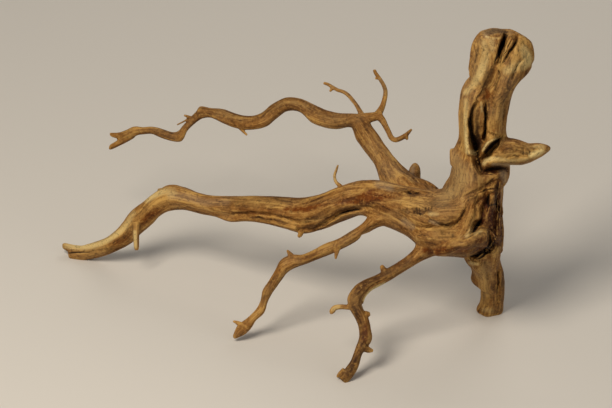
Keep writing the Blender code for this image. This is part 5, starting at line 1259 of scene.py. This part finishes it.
def woodMaterial():
    # Weathered driftwood: washed smooth and dried, so dull, streaked along the grain, grey-tan where the
    # weather reaches, golden brown where it is freshly broken, with painted shade nearly black in the splits
    # and painted highlights on rims
    material = bpy.data.materials.new("weathered driftwood")
    material.use_nodes = True
    tree = material.node_tree
    shader = tree.nodes["Principled BSDF"]
    maths = mathsFor(tree)
    hue = {name: linear(value) for name, value in wood.items() if str(value).startswith("#")}

    def attribute(name, output="Fac"):
        return addNode(tree, "ShaderNodeAttribute", {"attribute_name": name}).outputs[output]

    def blend(share, first, second):
        inputs = {0: share, 6: first, 7: second}
        return addNode(tree, "ShaderNodeMix", {"data_type": "RGBA"}, inputs).outputs[2]

    def noise(place, location, scale, detail, rough):
        mapping = addNode(tree, "ShaderNodeMapping", inputs={
            "Vector": place, "Location": location, "Scale": scale})
        return addNode(tree, "ShaderNodeTexNoise", inputs={
            "Vector": mapping.outputs[0], "Scale": 1.0, "Detail": detail, "Roughness": rough}).outputs[0]

    grains = attribute("grainA", "Vector"), attribute("grainB", "Vector")
    grainShare = attribute("grainShare")
    place = addNode(tree, "ShaderNodeTexCoord").outputs["Object"]

    def along(pitch, stretch, detail, shift, rough=0.55):
        scale = (1 / stretch / pitch, 1 / pitch, 1 / pitch)
        values = [noise(grainPlace, (shift, shift, 0), scale, detail, rough) for grainPlace in grains]
        return mixFloats(tree, grainShare, *values)

    def patches(size, detail, shift=0.0):
        return noise(place, (shift,) * 3, (1 / size / mm,) * 3, detail, 0.6)

    # The figure along the grain, in three tones
    figure = along(wood["figurePitch"], 12.0, 3.0, 2.0)
    fine = along(wood["finePitch"], 14.0, 2.0, 9.0)
    streak = maths("MULTIPLY", along(wood["streakPitch"], 5.0, 2.0, 14.0), 0.32)
    mixed = maths("ADD", maths("MULTIPLY_ADD", figure, 0.42, maths("MULTIPLY", fine, 0.26)), streak)
    tone = band(tree, mixed, 0.33, 0.65)
    colour = blend(band(tree, tone, 0.0, 0.5), hue["brown"], hue["tan"])
    colour = blend(band(tree, tone, 0.45, 1.0), colour, hue["pale"])

    # Painted shade on the undersides, then broad weathering, then the marked places
    normal = addNode(tree, "ShaderNodeNewGeometry").outputs["Normal"]
    facingUp = addNode(tree, "ShaderNodeSeparateXYZ", inputs={0: normal}).outputs[2]
    # Painted shade: faces turned down are darker and browner
    under = maths("MULTIPLY", band(tree, facingUp, 0.2, -0.7), wood["undersideShadeShare"])
    colour = blend(under, colour, blend(tone, hue["umber"], hue["under"]))
    weather = band(tree, patches(wood["weatherSize"], 3.0), 0.45, 0.65)
    greyed = maths("MULTIPLY", maths("MULTIPLY_ADD", weather, 0.35, attribute("greyed")), 0.75)
    colour = blend(greyed, colour, blend(0.55, colour, hue["greyed"]))
    ragged = band(tree, patches(5.0, 3.0, 5.0), 0.3, 0.55, 0.55, 1.0)
    # The marks' tints, which also paint shade and light: umber and rot darken recesses and lit tops, golden
    # lightens the trunk's shaded right half
    for name, strength, dark in wood["tints"]:
        tinted = blend(band(tree, tone, 0.0, 0.7, dark, 1.0), hue["deep"], hue[name])
        share = maths("MULTIPLY", maths("MULTIPLY", attribute(name), ragged), strength)
        colour = blend(share, colour, tinted)
    # Painted highlights on rims and edges, with weather-greyed and freshly torn wood
    for name, highlightAndBleach in (("ashAndHighlight", "ashAndHighlight"), ("pale", "creamAndHighlight")):
        share = maths("MULTIPLY", attribute(name), band(tree, tone, 0.0, 0.6, 0.55, 1.0))
        colour = blend(maths("MULTIPLY", share, 0.8), colour, hue[highlightAndBleach])

    # Grit: the small dark and light specks of old wood, drawn coarser than they are so that they show
    grit = patches(wood["gritSize"], 3.0, 11.0)
    colour = blend(band(tree, grit, 0.53, 0.68, 0.0, 0.45), colour, hue["deep"])
    colour = blend(band(tree, grit, 0.46, 0.3, 0.0, 0.4), colour, hue["pale"])
    fleck = band(tree, along(wood["fleckPitch"], 4.0, 2.0, 21.0, 0.7), 0.66, 0.76)
    colour = blend(maths("MULTIPLY", fleck, 0.5), colour, hue["deep"])
    # Painted shade in hollows, carved lines and clefts, and paler worn edges
    for name, low, high, share, layerHue in wood["shadeAndWornEdges"]:
        colour = blend(band(tree, attribute(name), low, high, 0.0, share), colour, hue[layerHue])
    tree.links.new(colour, shader.inputs["Base Color"])

    rough = band(tree, mixed, 0.35, 0.65, wood["roughHigh"], wood["roughLow"])
    tree.links.new(rough, shader.inputs["Roughness"])
    fibres = maths("ADD", along(wood["fibrePitch"], 18.0, 2.0, 31.0), maths("MULTIPLY", fine, 0.8))
    bump = addNode(tree, "ShaderNodeBump", inputs={
        "Strength": wood["fibreBump"], "Distance": wood["fibreDepth"] * mm, "Height": fibres})
    tree.links.new(bump.outputs[0], shader.inputs["Normal"])
    shader.inputs["IOR"].default_value = wood["ior"]
    shader.inputs["Specular IOR Level"].default_value = wood["specular"]
    return material


def buildStump():
    limbPaths = {name: limbPath(stations) for name, stations in limbs.items()}
    twigPaths = [twigPath(points) for points in twigs]
    tubes = [tube(limbPaths[name], stump["limbSides"], flutes[name]) for name in limbs]
    body = meshOf("driftwoodStump", tubes)
    blendSkin(body, stump["blendVoxel"], 6)
    carveAllSides(body.data)
    print("limbs blended and carved")

    shoots = meshOf("shoots", [tube(path, stump["twigSides"]) for path in twigPaths])
    blendSkin(body, stump["fineVoxel"], 0)
    both = bmesh.new()
    both.from_mesh(body.data)
    both.from_mesh(shoots.data)
    both.to_mesh(body.data)
    both.free()
    bpy.data.objects.remove(shoots)
    blendSkin(body, stump["fineVoxel"], 1)
    print("twigs joined:", len(body.data.vertices), "points")

    axes = readAxes(list(limbPaths.values()) + twigPaths)
    places, _ = readMesh(body.data)
    coordinates, standOff, halfThick = grainOf(places, axes)
    first, second, share = pickTwo(standOff)
    rows = np.arange(len(places))
    bulk = np.clip(halfThick[rows, first] / grain["bulk"], grain["leastBulk"], 1)
    setAttribute(body.data, "grainA", "FLOAT_VECTOR", "POINT", coordinates[rows, first])
    setAttribute(body.data, "grainB", "FLOAT_VECTOR", "POINT", coordinates[rows, second])
    setAttribute(body.data, "grainShare", "FLOAT", "POINT", share)
    setAttribute(body.data, "bulk", "FLOAT", "POINT", bulk)
    markSurface(body.data)
    cutFineLines(body.data)
    print("grain laid for the carving")

    material = woodMaterial()
    tree = reliefTree()
    modifier = body.modifiers.new("carve grain", "NODES")
    modifier.node_group = tree
    for socket in tree.interface.items_tree:
        if socket.in_out == "INPUT" and socket.name in relief:
            modifier[socket.identifier] = relief[socket.name]
        elif socket.in_out == "INPUT" and socket.name == "Wood":
            modifier[socket.identifier] = material
    bake(body)
    body.data.calc_loop_triangles()
    ratio = stump["triangles"] / len(body.data.loop_triangles)
    addModifier(body, "fewer faces", "DECIMATE", {"ratio": ratio})
    bake(body)
    levelTop(body.data)
    cutFlat(body.data)
    for attribute in ("grainA", "grainB", "grainShare", "bulk"):
        body.data.attributes.remove(body.data.attributes[attribute])
    body.data.shade_smooth()
    markSurface(body.data)
    shadeHollows(body.data)
    layGrain(body.data, axes)
    print("grain carved:", len(body.data.polygons), "faces")

    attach(body, "root")
    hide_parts(stump["node"])


studio = {
    "floor": "#CFCBC4", "floorSize": 8.0, "floorRough": 0.9,
    "lens": 1000.0,               # mm, very long, so that the view is square to the board
    "across": 0.612,              # metres across the picture at the stump's middle
    "lookAt": (-0.184, 0.106),    # metres right of and above the foot at the picture's middle
    "depth": 0.05,                # metres that the stump's middle stands out of the board
    "target": (-0.15, 0.0, 0.12),                           # what the lamps point at
    "key": (32.5, 0.8, (-0.95, -1.0, 1.6), "#FFF4E4"),      # watts, size, place, colour
    "fill": (6.0, 1.6, (1.35, -1.1, 0.7), "#F6F4F2"),
    "back": (6.0, 1.0, (0.3, 1.3, 1.3), "#FFF8EE"),
    "sky": ("#E6E4E1", 0.24),
}


def buildStudio():
    half = studio["floorSize"] / 2
    corners = [(-half, -half, 0), (half, -half, 0), (half, half, 0), (-half, half, 0)]
    floorMesh = bpy.data.meshes.new("floor")
    floorMesh.from_pydata(corners, [], [(0, 1, 2, 3)])
    floor = bpy.data.objects.new("floor", floorMesh)
    bpy.context.scene.collection.objects.link(floor)
    paper = bpy.data.materials.new("matt paper sweep")       # plain and dull, so that only the shadow shows
    paper.use_nodes = True
    paperShader = paper.node_tree.nodes["Principled BSDF"]
    paperShader.inputs["Base Color"].default_value = linear(studio["floor"])
    paperShader.inputs["Roughness"].default_value = studio["floorRough"]
    floorMesh.materials.append(paper)

    for name in ("key", "fill", "back"):
        watts, size, place, colour = studio[name]
        lamp = bpy.data.lights.new(name, "AREA")
        lamp.energy, lamp.size, lamp.color = watts, size, linear(colour)[:3]
        holder = bpy.data.objects.new(name, lamp)
        holder.location = place
        aim = Vector(studio["target"]) - Vector(place)
        holder.rotation_euler = aim.to_track_quat("-Z", "Y").to_euler()
        bpy.context.scene.collection.objects.link(holder)
    world = bpy.data.worlds.new("studio")
    world.use_nodes = True
    background = world.node_tree.nodes["Background"]
    background.inputs[0].default_value = linear(studio["sky"][0])
    background.inputs[1].default_value = studio["sky"][1]
    bpy.context.scene.world = world
    bpy.context.scene.view_settings.view_transform = "Standard"

    lean = math.radians(stump["boardLean"])
    right = Vector((1, 0, 0))
    up = Vector((0, math.sin(lean), math.cos(lean)))
    back = Vector((0, -math.cos(lean), math.sin(lean)))
    camera = bpy.data.cameras.new("camera")
    camera.lens = studio["lens"]
    camera.clip_end = 100
    distance = studio["across"] * camera.lens / camera.sensor_width
    centre = right * studio["lookAt"][0] + up * studio["lookAt"][1]
    holder = bpy.data.objects.new("camera", camera)
    turn = Matrix((right, up, back)).transposed().to_4x4()
    holder.matrix_world = Matrix.Translation(centre + back * (distance + studio["depth"])) @ turn
    bpy.context.scene.collection.objects.link(holder)
    bpy.context.scene.camera = holder


buildStudio()
buildStump()
